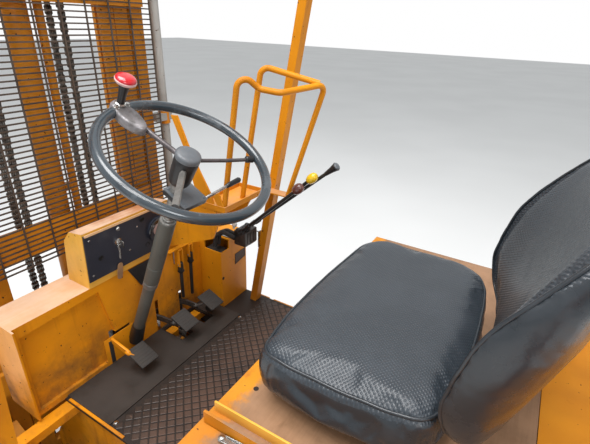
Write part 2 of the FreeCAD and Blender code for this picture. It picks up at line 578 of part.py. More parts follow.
def slanted(name, radius, start, reach):
    """Round bar from a point, given by three formulas, over a plain vector."""
    part = doc.addObject("Part::Cylinder", name)
    part.Placement = Placement(Vector(), Rotation(Vector(0, 0, 1), reach))
    bind(part, Radius=radius, Height=str(round(reach.Length, 2)))
    return move(part, *start)


def make_controls():
    levers = []
    for name, y, end in (("lift", 133, (-315, 135, 1172)), ("tilt", 109, (-350, 110, 1208)),
                         ("third", 95, (-410, 94, 1245))):
        start = Vector(-86, y, D.box_top_z + 72)
        reach = Vector(*end) - start
        grip = reach / reach.Length * 50
        low = Vector(*end) - grip / 2
        levers.append(slanted(f"lever_{name}", "6", (-86, f"{y} - box_outer", "box_top_z + 72"), reach))
        levers.append(slanted(f"lever_grip_{name}", "16", (low.x, f"{low.y} - box_outer", low.z), grip))
    levers.append(block("lever_shoe", ("-98", "-70"), ("75 - box_outer", "141 - box_outer"),
                        ("box_top_z + 65", "box_top_z + 77")))
    keep("hydraulic_levers", join("levers_joined", levers))
    pedals = [rod("pedal_shaft", "y", "9", ("sheet - cowl_right", "cowl_left - sheet"), x="bulkhead_x + 45", z="646")]
    for name, x, y, arm_y in (("inching", -16, 42, 62), ("brake", 15, -162, -120), ("drive", -15, -267, -232)):
        pedals.append(plate(f"pad_{name}", "XZ", [(f"{x - 36}", "648"), (f"{x + 30}", "714"), (f"{x + 38}", "706"),
                                                  (f"{x - 28}", "640")], (f"{y - 35}", f"{y + 35}")))
        pedals.append(plate(f"arm_{name}", "XZ", [("bulkhead_x + 45", "638"), ("bulkhead_x + 45", "656"),
                                                  (f"{x + 14}", "684"), (f"{x + 4}", "672")],
                            (f"{arm_y - 5}", f"{arm_y + 5}")))
        low, high = sorted((y, arm_y))
        pedals.append(block(f"arm_foot_{name}", (f"{x + 2}", f"{x + 16}"), (f"{low - 5}", f"{high + 5}"),
                            ("671", "684")))
    keep("pedals", join("pedals_joined", pedals))
    switch = [slanted("switch_stalk", "5", ("wheel_x + 10", "wheel_y - 48", "wheel_z - 121"), Vector(-14, -84, 16)),
              slanted("switch_grip", "7", ("wheel_x - 4", "wheel_y - 132", "wheel_z - 105"), Vector(-6.5, -39, 6.5))]
    keep("direction_switch", cut("switch_trimmed", join("switch_joined", switch), [nodes["steering_column"]]))


# Corners of the hoop's two tubes, as shares of its reach back, its width and its height over the tray
HOOP_NEAR = ((0, 0, 0), (0.3, 0, 1), (0.455, 0.21, 0.884), (0.723, 0.27, 0.87), (1, 0.925, 0.908), (0.4375, 1, 0))
HOOP_FAR = ((-0.054, 0.505, 0), (0.29, 0.505, 1.01), (0.723, 0.745, 0.944), (0.955, 0.835, 0.913))


def make_hoop():
    foot = D.cowl_z + D.tray_rise
    tubes = []
    for corners in (HOOP_NEAR, HOOP_FAR):
        points = [Vector(D.hoop_x - D.hoop_reach * back, D.hoop_y - D.hoop_width * across,
                         foot + D.hoop_height * rise) for back, across, rise in corners]
        tubes.append(bent_tube(points, D.hoop_r, D.hoop_bend))
    hoop = doc.addObject("Part::Feature", "hoop_tubes")
    hoop.Shape = tubes[0].fuse(tubes[1:])
    hoop.Placement = Placement()
    keep("hoop_guard", cut("hoop_trimmed", hoop, [
        block("hoop_ground", ("hoop_x - hoop_reach - 40", "hoop_x + 140"), ("-600", "-100"),
              ("tray_z - 40", "tray_z + 4"))]))


def make_guard():
    half = "pillar_w / 2"
    run = "(guard_z - guard_rail - floor_z)"
    front_low = "(pillar_foot_x - pillar_d / 2)"
    front_high = f"({front_low} - pillar_lean * {run})"
    rear_x = "(weight_front_x - 80)"
    parts = []
    front = [(front_low, "floor_z"), (f"{front_low} + pillar_d", "floor_z"),
             (f"{front_high} + pillar_d", "guard_z - guard_rail"), (front_high, "guard_z - guard_rail")]
    rear = [(rear_x, "weight_top_z"), (f"{rear_x} + 50", "weight_top_z"),
            (f"{rear_x} + 90", "guard_z - guard_rail"), (f"{rear_x} + 40", "guard_z - guard_rail")]
    for side, sign in SIDES:
        near, far = f"pillar_y - {half}", f"pillar_y + {half}"
        span = (near, far) if sign > 0 else (f"-({far})", f"-({near})")
        parts.append(plate(f"front_pillar_{side}", "XZ", front, span))
        near, far = f"pillar_y - {half} - 35", f"pillar_y + {half} - 15"
        span = (near, far) if sign > 0 else (f"-({far})", f"-({near})")
        parts.append(plate(f"rear_pillar_{side}", "XZ", rear, span))
        parts.append(block(f"rear_shoe_{side}", (f"{rear_x} - 20", f"{rear_x} + 70"),
                           (span[0] + " - 5", span[1] + " + 5"), ("weight_top_z", "weight_top_z + 12")))
    parts += mirrored_blocks("roof_rail", ("guard_rear_x", f"{front_high} + pillar_d"),
                             (f"pillar_y - {half}", f"pillar_y + {half}"), ("guard_z - guard_rail", "guard_z"))
    ends = (("roof_rear", "guard_rear_x"), ("roof_front", f"{front_high} + pillar_d - 50"))
    for name, x in ends:
        parts.append(block(name, (x, f"{x} + 50"), ("-pillar_y", "pillar_y"), ("guard_z - guard_rail", "guard_z")))
    count = int((D.pillar_foot_x + D.pillar_d / 2 - D.pillar_lean * (D.guard_z - D.guard_rail - D.floor_z)
                 - 60 - (D.guard_rear_x + 60)) // D.slat_pitch)
    for i in range(1, count + 1):
        x = f"guard_rear_x + 50 + slat_pitch * {i}"
        parts.append(block(f"slat_{i}", (x, f"{x} + slat_w"), ("-pillar_y", "pillar_y"),
                           ("guard_z - guard_rail", "guard_z - 2")))
    keep("overhead_guard", join("guard_joined", parts))


def make_hood():
    hood = ("hood_rear_x", "hood_front_x")
    side = ("-hood_half", "hood_half")
    shell = cut("hood_shell", block("hood_outer_form", hood, side, ("hood_bottom_z", "hood_z")), [
        block("hood_inner_form", ("hood_rear_x - 10", "hood_front_x - sheet"),
              ("sheet - hood_half", "hood_half - sheet"), ("hood_bottom_z - 10", "hood_z - sheet")),
    ])
    angle = ("hood_front_x - 170", "hood_front_x - 8")
    bracket = [block("hood_bracket_low", angle, ("300", "330"), ("hood_z", "hood_z + sheet")),
               block("hood_bracket_up", angle, ("330 - sheet", "330"), ("hood_z", "hood_z + 26"))]
    knuckles = []
    tools = [rod("hood_hinge_bore", "y", "hinge_pin_r + run_gap", ("-400", "400"), x=HINGE_X, z=HINGE_Z)]
    for side, (low, high) in HINGE_SPANS.items():
        knuckles.append(rod(f"hood_knuckle_{side}", "y", "10", (low, high), x=HINGE_X, z=HINGE_Z))
        for end, span in (("right", (f"{low} - 19", low)), ("left", (high, f"{high} + 19"))):
            tools.append(block(f"hood_notch_{side}_{end}", ("hood_rear_x - 10", f"{HINGE_X} + 14"), span,
                               ("hood_z - 30", "hood_z + 5")))
    keep("hood", cut("hood_bored", join("hood_joined", [shell] + bracket + knuckles), tools))
    keep("seat_base", block("seat_pan", ("seat_rear_x + 20", "seat_front_x - 30"),
                            ("seat_y - seat_w / 2 + 40", "seat_y + seat_w / 2 - 40"), ("hood_z", "seat_low_z")))
    cushion = plate("cushion_form", "XZ", [("seat_rear_x", "seat_low_z"), ("seat_front_x", "seat_low_z"),
                                          ("seat_front_x", "seat_top_z"), ("seat_rear_x", "seat_top_z - 22")],
                    ("seat_y - seat_w / 2", "seat_y + seat_w / 2"))
    rounded(cushion, "seat_corner", lambda at, along: abs(along.z) > 0.9 and at.x > D.seat_front_x - 1, "corner")
    middle_z = D.hood_z + D.seat_gap + D.seat_thick / 4
    rounded(cushion, "seat_round", lambda at, along: (at.z > middle_z and abs(along.z) < 0.9
                                                      and abs(at.x - D.seat_rear_x) > 1))
    keep("seat_cushion", cushion)
    wing = "(seat_rear_x - 80 + back_depth)"
    side_form = plate("back_side", "XZ", [
        (f"{wing} - 10", "seat_top_z - 50"), (wing, "seat_top_z + 48"), (f"{wing} - 10", "seat_top_z + 105"),
        (f"{wing} - 33", "seat_top_z + 184"), (f"{wing} - 74", "seat_top_z + 252"),
        (f"{wing} - 123", "seat_top_z + back_rise - 40"), (f"{wing} - 159", "seat_top_z + back_rise"),
        ("seat_rear_x - 173", "seat_top_z + back_rise"), ("seat_rear_x - 161", "seat_top_z + 258"),
        ("seat_rear_x - 125", "seat_top_z + 101"), ("seat_rear_x - 80", "seat_top_z - 50")],
                      ("seat_y - seat_w / 2", "seat_y + seat_w / 2"))
    half = "seat_w / 2"
    front_form = plate("back_front", "YZ", [
        (f"seat_y - {half}", "seat_top_z - 60"), (f"seat_y + {half}", "seat_top_z - 60"),
        (f"seat_y + {half}", "seat_top_z + back_rise - 105"), (f"seat_y + {half} - 35", "seat_top_z + back_rise - 35"),
        (f"seat_y + {half} - 100", "seat_top_z + back_rise + 5"),
        (f"seat_y - {half} + 100", "seat_top_z + back_rise + 5"),
        (f"seat_y - {half} + 35", "seat_top_z + back_rise - 35"), (f"seat_y - {half}", "seat_top_z + back_rise - 105")],
                       ("seat_rear_x - 300", "seat_rear_x + 100"))
    inner = "(seat_rear_x - 80 + back_shell)"
    hollow = plate("back_hollow", "XY", [(inner, "seat_y - 130"), (f"{inner} + 115", "seat_y - 311"),
                                         (f"{inner} + 115", "seat_y + 311"), (inner, "seat_y + 130")],
                   ("seat_top_z - 60", "seat_top_z + back_rise + 20"))
    hollow.Tip.UseCustomVector = True
    hollow.Tip.Direction = Vector(-0.26, 0, 1)
    hollow.Tip.AlongSketchNormal = True
    under = block("back_clear", ("seat_rear_x", "seat_front_x"), ("-400", "400"), ("seat_low_z - 20", "seat_top_z"))
    keep("seat_back", cut("back_cut", common("back_whole", side_form, front_form), [under, hollow]))


def leaning_rod(name, radius, high, low, x, z, lean):
    """Round piece between two distances below a point, along a line leaning back from upright."""
    part = doc.addObject("Part::Cylinder", name)
    bind(part, Radius=radius, Height=f"({low}) - ({high})")
    part.Placement = Placement(Vector(), Rotation(Vector(0, -1, 0), 20))
    bind(part, Placement__Rotation__Angle=lean)
    return move(part, f"{x} + sin({lean}) * ({low})", "wheel_y", f"{z} - cos({lean}) * ({low})")


def column_rod(name, radius, high, low):
    return leaning_rod(name, radius, high, low, "column_x", "column_z", "column_lean")


def make_steering():
    tilt = math.radians(D.column_tilt)
    neck_top = Vector(D.wheel_x + math.sin(tilt) * (D.cap_low + 8), D.wheel_y,
                      D.wheel_z - math.cos(tilt) * (D.cap_low + 8))
    neck_end = Vector(D.column_x, D.wheel_y, D.column_z - 8)
    neck_place = ("wheel_x + sin(column_tilt) * (cap_low + 8)", "wheel_y",
                  "wheel_z - cos(column_tilt) * (cap_low + 8)")
    saddle_low = "(floor_z + 88)"
    column = join("column_joined", [
        leaning_rod("column_boss", "neck_r + 6", "cap_low", "cap_low + 16", "wheel_x", "wheel_z", "column_tilt"),
        slanted("column_neck", "neck_r", neck_place, neck_end - neck_top),
        column_rod("column_upper", "upper_r", "0", "clamp_low - 70"),
        column_rod("column_sleeve", "upper_r + 1.5", "clamp_low - 72", "clamp_low - 10"),
        column_rod("column_clamp", "clamp_r", "clamp_low - 12", "clamp_low + 10"),
        column_rod("column_lower", "lower_r", "clamp_low", "boot_low + 10"),
        column_rod("column_boot", "boot_r", "boot_low", "boot_low + 48"),
    ])
    saddle = block("column_saddle", ("bulkhead_x - 26", "bulkhead_x - run_gap"), ("wheel_y - 46", "wheel_y + 46"),
                   (saddle_low, f"{saddle_low} + 62"))
    column = cut("column_trimmed", column, [
        block("column_limit", ("bulkhead_x - run_gap", "bulkhead_x + 200"), ("-200", "200"), ("floor_z", "cowl_z"))])
    box = block("column_cover", ("0", "76"), ("0", "78"), ("0", "17"))
    box.Placement = Placement(Vector(), Rotation(Vector(0, -1, 0), 20))
    bind(box, Placement__Rotation__Angle="column_tilt")
    middle = "(cap_low + 47)"
    move(box, f"wheel_x + sin(column_tilt) * {middle} - 56 * cos(column_tilt)", "wheel_y - 58",
         f"wheel_z - cos(column_tilt) * {middle} - 56 * sin(column_tilt)")
    keep("steering_column", join("column_whole", [column, saddle, box]))
    ring = doc.addObject("Part::Torus", "wheel_rim")
    bind(ring, Radius1="wheel_r - grip_r", Radius2="grip_r")
    hub = doc.addObject("Part::Cylinder", "wheel_hub")
    bind(hub, Radius="cap_r", Height="cap_low - run_gap + 12", Placement__Base__z="run_gap - cap_low")
    spokes = []
    for i, angle in enumerate((0, 120, 240)):
        spoke = doc.addObject("Part::Cylinder", f"wheel_spoke_{i}")
        bind(spoke, Radius="spoke_r", Height="wheel_r - grip_r")
        across = Rotation(Vector(0, 0, 1), angle + 8)
        spoke.Placement = Placement(Vector(0, 0, -6), across * Rotation(Vector(0, 1, 0), 90))
        spokes.append(spoke)
    wheel = join("wheel_joined", [ring, hub] + spokes)
    wheel.Placement = Placement(Vector(), Rotation(Vector(0, -1, 0), D.column_tilt))
    bind(wheel, Placement__Rotation__Angle="column_tilt")
    keep("steering_wheel", move(wheel, "wheel_x", "wheel_y", "wheel_z"))
    knob = []
    for name, radius, low, high in (("clamp", "21", "0", "24"), ("collar", "13", "24", "34"), ("stem", "9", "34", "66"),
                                    ("cap", "18", "66", "88")):
        part = doc.addObject("Part::Cylinder", f"knob_{name}")
        bind(part, Radius=radius, Height=f"({high}) - ({low})", Placement__Base__x="(wheel_r - grip_r) * cos(8)",
             Placement__Base__y="(wheel_r - grip_r) * sin(8)", Placement__Base__z=low)
        knob.append(part)
    groove = doc.addObject("Part::Torus", "knob_groove")
    bind(groove, Radius1="wheel_r - grip_r", Radius2="grip_r")
    spinner = cut("knob_grooved", join("knob_joined", knob), [groove])
    spinner.Placement = Placement(Vector(), Rotation(Vector(0, -1, 0), D.column_tilt))
    bind(spinner, Placement__Rotation__Angle="column_tilt")
    keep("spinner_knob", move(spinner, "wheel_x", "wheel_y", "wheel_z"))


def make_wheel(name, radius, width, bead, wheel_y, x, z, side, sign, hub_out):
    """Tyre and rim of one wheel; hub_out is the hub's reach inboard of the wheel's middle."""
    shoulder = "tyre_shoulder"
    half = f"{width} / 2"
    at = (x, f"{sign} * {wheel_y}", z)
    tyre = lathe(f"{name}_tyre_{side}_form", [
        (f"-{half}", f"{bead}"), (f"{half}", f"{bead}"), (f"{half}", f"{radius} - {shoulder} * 1.4"),
        (f"{half} - {shoulder} * 0.4", f"{radius} - {shoulder} * 0.35"), (f"{half} - {shoulder} * 1.3", radius),
        (f"{shoulder} * 1.3 - {half}", radius), (f"{shoulder} * 0.4 - {half}", f"{radius} - {shoulder} * 0.35"),
        (f"-{half}", f"{radius} - {shoulder} * 1.4")], *at)
    keep(f"{name}_tyre_{side}", tyre)
    barrel = lathe(f"{name}_barrel_{side}", [
        (f"-{half} - 4", bead), (f"-{half} - 4", f"{bead} - rim_wall"), (f"{half} + 4", f"{bead} - rim_wall"),
        (f"{half} + 4", bead)], *at)
    disc_low, disc_high = ("14", "14 + disc_wall") if sign > 0 else ("-14 - disc_wall", "-14")
    disc = rod(f"{name}_disc_{side}", "y", f"{bead} - rim_wall / 2",
               (f"{at[1]} + {disc_low}", f"{at[1]} + {disc_high}"), x=x, z=z)
    hub_span = ("-" + hub_out, "42") if sign > 0 else ("-42", hub_out)
    hub = rod(f"{name}_hub_{side}", "y", "hub_r", [f"{at[1]} + {end}" for end in hub_span], x=x, z=z)
    nuts = []
    for i in range(6):
        spread = f"{i} * 60"
        low, high = ("14", "34") if sign > 0 else ("-34", "-14")
        nuts.append(rod(f"{name}_nut_{side}_{i}", "y", "stud_r", (f"{at[1]} + {low}", f"{at[1]} + {high}"),
                        x=f"{x} + stud_circle_r * cos({spread})", z=f"{z} + stud_circle_r * sin({spread})"))
    keep(f"{name}_rim_{side}", join(f"{name}_rim_{side}_joined", [barrel, disc, hub] + nuts))


def make_wheels():
    for side, sign in SIDES:
        make_wheel("front", "front_tyre_r", "front_tyre_w", "front_rim_r", "front_wheel_y", "front_axle_x",
                   "front_tyre_r", side, sign, "60")
        make_wheel("rear", "rear_tyre_r", "rear_tyre_w", "rear_rim_r", "rear_wheel_y", REAR_AXLE_X,
                   "rear_tyre_r", side, sign, "30")
    spindle = "front_wheel_y - 60 - run_gap"
    front = join("front_axle_joined", [
        rod("front_tube", "y", "axle_tube_r", (f"-({spindle})", spindle), x="front_axle_x", z=AXLE_Z),
        rod("front_case", "y", "axle_case_r", ("-axle_case_half", "axle_case_half"), x="front_axle_x", z=AXLE_Z),
    ])
    keep("front_axle", front)
    beam_half = "kingpin_y + 24"
    low, high = "rear_tyre_r - 52", "rear_tyre_r + 52"
    beam = join("beam_joined", [
        block("beam_middle", (f"{REAR_AXLE_X} - 40", f"{REAR_AXLE_X} + 40"), ("-250", "250"), (low, high)),
        block("beam_ends", (f"{REAR_AXLE_X} - 24", f"{REAR_AXLE_X} + 24"), (f"-({beam_half})", beam_half), (low, high)),
        block("beam_mount", (f"{REAR_AXLE_X} - 40", f"{REAR_AXLE_X} + 40"), ("-70", "70"), (high, "rear_tyre_r + 90")),
    ])
    forks = [block(f"fork_gap_{side}", (f"{REAR_AXLE_X} - 60", f"{REAR_AXLE_X} + 60"),
                   (f"{sign} * kingpin_y - 34", f"{sign} * kingpin_y + 34"),
                   ("rear_tyre_r - 32", "rear_tyre_r + 32")) for side, sign in SIDES]
    bores = [rod(f"kingpin_bore_{side}", "z", "kingpin_r + run_gap", ("rear_tyre_r - 60", "rear_tyre_r + 60"),
                 x=REAR_AXLE_X, y=f"{sign} * kingpin_y") for side, sign in SIDES]
    keep("rear_axle", cut("beam_bored", beam, forks + bores))
    for side, sign in SIDES:
        inner, outer = "kingpin_y - 26", "rear_wheel_y - 32"
        arm = (inner, outer) if sign > 0 else (f"-({outer})", f"-({inner})")
        stub = ("kingpin_y", "rear_wheel_y - 30.4") if sign > 0 else ("30.4 - rear_wheel_y", "-kingpin_y")
        keep(f"knuckle_{side}", join(f"knuckle_{side}_joined", [
            rod(f"kingpin_{side}", "z", "kingpin_r", ("rear_tyre_r - 58", "rear_tyre_r + 58"), x=REAR_AXLE_X,
                y=f"{sign} * kingpin_y"),
            rod(f"knuckle_body_{side}", "z", "26", ("rear_tyre_r - 31.6", "rear_tyre_r + 31.6"), x=REAR_AXLE_X,
                y=f"{sign} * kingpin_y"),
            rod(f"stub_{side}", "y", "24", stub, x=REAR_AXLE_X, z="rear_tyre_r"),
        ]))


def channel(name, side, sign, web, flange, low, high, x, depth):
    """Upright of the mast: a channel open towards the centreline."""
    inner = f"({web} - {flange})"
    across = (inner, web) if sign > 0 else (f"-{web}", f"-{inner}")
    hollow = (f"{inner} - 5", f"{web} - web_gauge") if sign > 0 else (f"web_gauge - {web}", f"5 - {inner}")
    return cut(f"{name}_{side}", block(f"{name}_bar_{side}", (x, f"{x} + {depth}"), across, (low, high)),
               [block(f"{name}_hollow_{side}", (f"{x} + flange_gauge", f"{x} + {depth} - flange_gauge"), hollow,
                      (f"{low} - 5", f"{high} + 5"))])


def make_mast():
    outer, inner = [], []
    beam = ("mast_rear_x - beam_gauge", "mast_rear_x")
    for side, sign in SIDES:
        outer.append(channel("outer_rail", side, sign, "mast_half", "flange_w", "outer_bottom_z", "outer_top_z",
                             "mast_rear_x", "rail_depth"))
        eye_plate = [("front_axle_x - 70", AXLE_Z), ("front_axle_x - 52", f"{AXLE_Z} + 52"),
                     ("mast_rear_x", "tilt_eye_z - 120"), ("mast_rear_x", "outer_bottom_z + 60"),
                     ("front_axle_x", f"{AXLE_Z} - 75"), ("front_axle_x - 52", f"{AXLE_Z} - 52")]
        span = ("mast_half - flange_w - 12", "mast_half - 10")
        span = span if sign > 0 else (f"-({span[1]})", f"-({span[0]})")
        bracket = plate(f"mast_bracket_{side}", "XZ", eye_plate, span)
        outer.append(cut(f"mast_bearing_{side}", bracket,
                         [rod(f"bearing_bore_{side}", "y", "axle_tube_r + run_gap", ("-500", "500"),
                              x="front_axle_x", z=AXLE_Z)]))
        ear = [("mast_rear_x", "tilt_eye_z - 40"), ("mast_rear_x", "tilt_eye_z + 40"),
               ("tilt_eye_x - 8", "tilt_eye_z + 22"), ("tilt_eye_x - 22", "tilt_eye_z"),
               ("tilt_eye_x - 8", "tilt_eye_z - 22")]
        for part_name, gap in (("in", -1), ("out", 1)):
            near, far = ("16", "26") if gap > 0 else ("-26", "-16")
            ear_span = (f"{sign} * tilt_y + {near}", f"{sign} * tilt_y + {far}")
            outer.append(plate(f"tilt_ear_{part_name}_{side}", "XZ", ear, ear_span))
        outer.append(rod(f"tilt_eye_pin_{side}", "y", "tilt_pin_r", (f"{sign} * tilt_y - 26", f"{sign} * tilt_y + 26"),
                         x="tilt_eye_x", z="tilt_eye_z"))
        inner.append(channel("inner_rail", side, sign, "(mast_half - flange_w - stage_gap)", "flange_w",
                             "inner_bottom_z", "inner_top_z", "mast_rear_x + 6", "rail_depth"))
    half = "mast_half - 8"
    for name, low, high in (("low", "560", "640"), ("middle", "976", "1067"),
                            ("upper", "outer_top_z - 425", "outer_top_z - 335"),
                            ("top", "outer_top_z - 80", "outer_top_z")):
        outer.append(block(f"outer_beam_{name}", beam, (f"-({half})", half), (low, high)))
    outer.append(block("outer_sill", ("mast_rear_x - beam_gauge", "mast_rear_x + rail_depth"), (f"-({half})", half),
                       ("outer_bottom_z", "inner_bottom_z - 10")))
    keep("mast_outer", join("mast_outer_joined", outer))
    inner_half = "mast_half - flange_w - stage_gap - 8"
    plates = ("mast_rear_x + 6", "mast_rear_x + 6 + inner_beam_gauge")
    for name, low, high in (("low", "inner_bottom_z", "inner_bottom_z + 70"), ("middle", "985", "1058"),
                            ("high", "inner_top_z - 300", "inner_top_z - 220")):
        inner.append(block(f"inner_beam_{name}", plates, (f"-({inner_half})", inner_half), (low, high)))
    head = ("inner_top_z - 30", "inner_top_z")
    inner.append(block("inner_head", ("mast_rear_x + 6", "mast_rear_x + 6 + rail_depth"),
                       (f"-({inner_half})", inner_half), head))
    for side, sign in SIDES:
        inner.append(block(f"guide_strip_{side}", plates, (f"{sign} * 245.5 - 24.5", f"{sign} * 245.5 + 24.5"),
                           ("inner_bottom_z", "inner_top_z")))
        for edge in (-1, 1):
            middle = f"{sign} * chain_y + {edge} * (chain_w / 2 + 6.5)"
            cheek = block(f"sheave_cheek_{side}_{edge + 1}", ("cylinder_x - 20", "cylinder_x + 20"),
                          (f"{middle} - 3.5", f"{middle} + 3.5"), ("sheave_z - 18", "inner_top_z - 10"))
            inner.append(cut(f"sheave_cheek_bored_{side}_{edge + 1}", cheek,
                             [rod(f"cheek_bore_{side}_{edge + 1}", "y", "sheave_pin_r + run_gap",
                                  (f"{middle} - 10", f"{middle} + 10"), x="cylinder_x", z="sheave_z")]))
        web = "mast_half - flange_w - stage_gap"
        roller = (f"{web} - 4", "mast_half - web_gauge - 3")
        roller = roller if sign > 0 else (f"-({roller[1]})", f"-({roller[0]})")
        for place, z in (("low", "220"), ("high", "580")):
            inner.append(rod(f"roller_{side}_{place}", "y", "rail_depth / 2 - flange_gauge - run_gap", roller,
                             x="mast_rear_x + rail_depth / 2", z=z))
    keep("mast_inner", join("mast_inner_joined", inner))


def make_mast_gear():
    barrel = cut("barrel_bored", rod("barrel_form", "z", "cylinder_r", ("inner_bottom_z - 10", "cylinder_top_z"),
                                     x="cylinder_x", y="0"),
                 [rod("barrel_bore", "z", "bore_r", ("inner_bottom_z + 6", "cylinder_top_z + 5"), x="cylinder_x")])
    gland = cut("gland_bored", rod("gland_form", "z", "cylinder_r + 4", ("cylinder_top_z - 40", "cylinder_top_z"),
                                   x="cylinder_x"),
                [rod("gland_bore", "z", "lift_rod_r + run_gap", ("cylinder_top_z - 50", "cylinder_top_z + 5"),
                     x="cylinder_x")])
    feed = [rod("feed_pipe", "z", "12", ("700", "cylinder_top_z - 70"), x="cylinder_x - 18", y="-57")]
    for place, z in (("low", "720"), ("middle", "1120"), ("high", "cylinder_top_z - 110")):
        feed.append(block(f"feed_clamp_{place}", ("cylinder_x - 26", "cylinder_x - 8"), ("-58", "-24"),
                          (z, f"{z} + 24")))
    anchor = block("chain_anchor", ("cylinder_x - 38", "cylinder_x + 10"), ("-chain_y - 16", "chain_y + 16"),
                   ("anchor_z - 16", "anchor_z"))
    shell = cut("cylinder_clear", join("cylinder_joined", [barrel, gland, anchor] + feed),
                [rod("cylinder_inside", "z", "bore_r", ("inner_bottom_z + 6", "cylinder_top_z - 40"), x="cylinder_x")])
    keep("lift_cylinder", shell)
    keep("lift_rod", join("lift_rod_joined", [
        rod("lift_rod_form", "z", "lift_rod_r", ("inner_bottom_z + 20", "inner_top_z - 30"), x="cylinder_x"),
        rod("lift_piston", "z", "bore_r - run_gap", ("inner_bottom_z + 20", "inner_bottom_z + 70"), x="cylinder_x"),
    ]))
    strand = ("chain_y - chain_w / 2", "chain_y + chain_w / 2")
    rear_x = "(cylinder_x - sheave_r)"
    front_x = "(cylinder_x + sheave_r)"
    keep("anchor_chains", join("anchor_joined", mirrored_blocks(
        "anchor_chain", (f"{rear_x} - chain_t", rear_x), strand, ("anchor_z", "sheave_z"))))
    keep("lift_chains", join("lift_chain_joined", mirrored_blocks(
        "lift_chain", (front_x, f"{front_x} + chain_t"), strand, ("high_bar_z + bar_height - 10", "sheave_z"))))
    sheaves = []
    for side, sign in SIDES:
        span = (f"{sign} * chain_y - chain_w / 2", f"{sign} * chain_y + chain_w / 2")
        ring = rod(f"wrap_ring_{side}", "y", "sheave_r + chain_t", span, x="cylinder_x", z="sheave_z")
        window = block(f"wrap_half_{side}", ("cylinder_x - 50", "cylinder_x + 50"), ("-200", "200"),
                       ("sheave_z", "sheave_z + 60"))
        sheaves.append(join(f"sheave_joined_{side}", [
            common(f"wrap_{side}", ring, window),
            rod(f"sheave_disc_{side}", "y", "sheave_r - 1", span, x="cylinder_x", z="sheave_z"),
            rod(f"sheave_axle_{side}", "y", "sheave_pin_r", (f"{span[0]} - 10", f"{span[1]} + 10"),
                x="cylinder_x", z="sheave_z"),
        ]))
    keep("sheaves", join("sheaves_joined", sheaves))
    bars = []
    rows = int((D.mesh_high_z - D.mesh_low_z) // (D.mesh_pitch * 1)) - 1
    low_face = "mast_rear_x - beam_gauge - wire"
    for i in range(rows):
        z = f"mesh_low_z + 15 + mesh_pitch * {i}"
        bars.append(block(f"level_wire_{i}", (low_face, "mast_rear_x - beam_gauge"), ("-mesh_half", "mesh_half"),
                          (z, f"{z} + wire")))
    columns = int(2 * D.mesh_half // D.mesh_step)
    for i in range(columns + 1):
        y = f"-mesh_half + (2 * mesh_half - wire) * {i} / {columns}"
        bars.append(block(f"upright_wire_{i}", (f"{low_face} - wire", low_face), (y, f"{y} + wire"),
                          ("mesh_low_z + 15", f"mesh_low_z + 15 + mesh_pitch * {rows - 1} + wire")))
    keep("mesh_guard", join("mesh_joined", bars))
    pole = [rod("pole", "z", "pole_r", ("640", "outer_top_z - 90"), x="mast_rear_x + 2", y="pole_y")]
    for name, z in (("low", "700"), ("middle", "1290"), ("high", "outer_top_z - 160")):
        pole.append(block(f"pole_clamp_{name}", ("mast_rear_x - 18", "mast_rear_x + 22"), ("pole_y - 20", "-mast_half"),
                          (z, f"{z} + 26")))
    keep("side_pole", join("pole_joined", pole))


def make_carriage():
    front = "(carriage_x + bar_gauge)"
    bars = [block("bar_low", ("carriage_x", front), ("-bar_half", "bar_half"),
                  ("low_bar_z", "low_bar_z + bar_height")),
            block("bar_high", ("carriage_x", front), ("-bar_half", "bar_half"),
                  ("high_bar_z", "high_bar_z + bar_height"))]
    for side, sign in SIDES:
        web = "mast_half - 2 * flange_w - stage_gap - 4"
        span = (f"{web} - 22", web) if sign > 0 else (f"-({web})", f"22 - ({web})")
        bars.append(block(f"carriage_side_{side}", ("carriage_x - 38", "carriage_x"), span,
                          ("low_bar_z + 10", "high_bar_z + bar_height")))
        roller = (f"{web} - 4", f"{web} + 31")
        roller = roller if sign > 0 else (f"-({roller[1]})", f"-({roller[0]})")
        bars.append(block(f"carriage_tab_{side}", ("carriage_x - 75", "carriage_x - 38"), span,
                          ("low_bar_z + 40", "high_bar_z + 40")))
        for place, z in (("low", "low_bar_z + 62"), ("high", "high_bar_z + 6")):
            bars.append(rod(f"carriage_roller_{side}_{place}", "y", "rail_depth / 2 - flange_gauge - run_gap", roller,
                            x="mast_rear_x + 6 + rail_depth / 2", z=z))
    bars += mirrored_blocks("chain_yoke", ("398", "carriage_x"), ("chain_y - 18", "chain_y + 18"),
                            ("high_bar_z + 45", "high_bar_z + bar_height - 10"))
    keep("carriage", join("carriage_joined", bars))
    shank_top = "high_bar_z + bar_height + 12"
    heel = [(front, "fork_low_z"), (f"{front} + fork_gauge + fork_length", "fork_low_z + 4"),
            (f"{front} + fork_gauge + fork_length", "fork_low_z + 4 + fork_tip"),
            (f"{front} + fork_gauge + 380", "fork_low_z + fork_gauge"),
            (f"{front} + fork_gauge + 8", "fork_low_z + fork_gauge"), (f"{front} + fork_gauge", "fork_low_z + 60"),
            (f"{front} + fork_gauge", shank_top), (front, shank_top)]
    forks = []
    for side, sign in SIDES:
        span = (f"{sign} * fork_y - fork_w / 2", f"{sign} * fork_y + fork_w / 2")
        hook = block(f"fork_hook_{side}", (f"{front} - 14", front), span,
                     ("high_bar_z + bar_height + 0.3", shank_top))
        forks += [plate(f"fork_form_{side}", "XZ", heel, span), hook]
    keep("forks", join("forks_joined", forks))


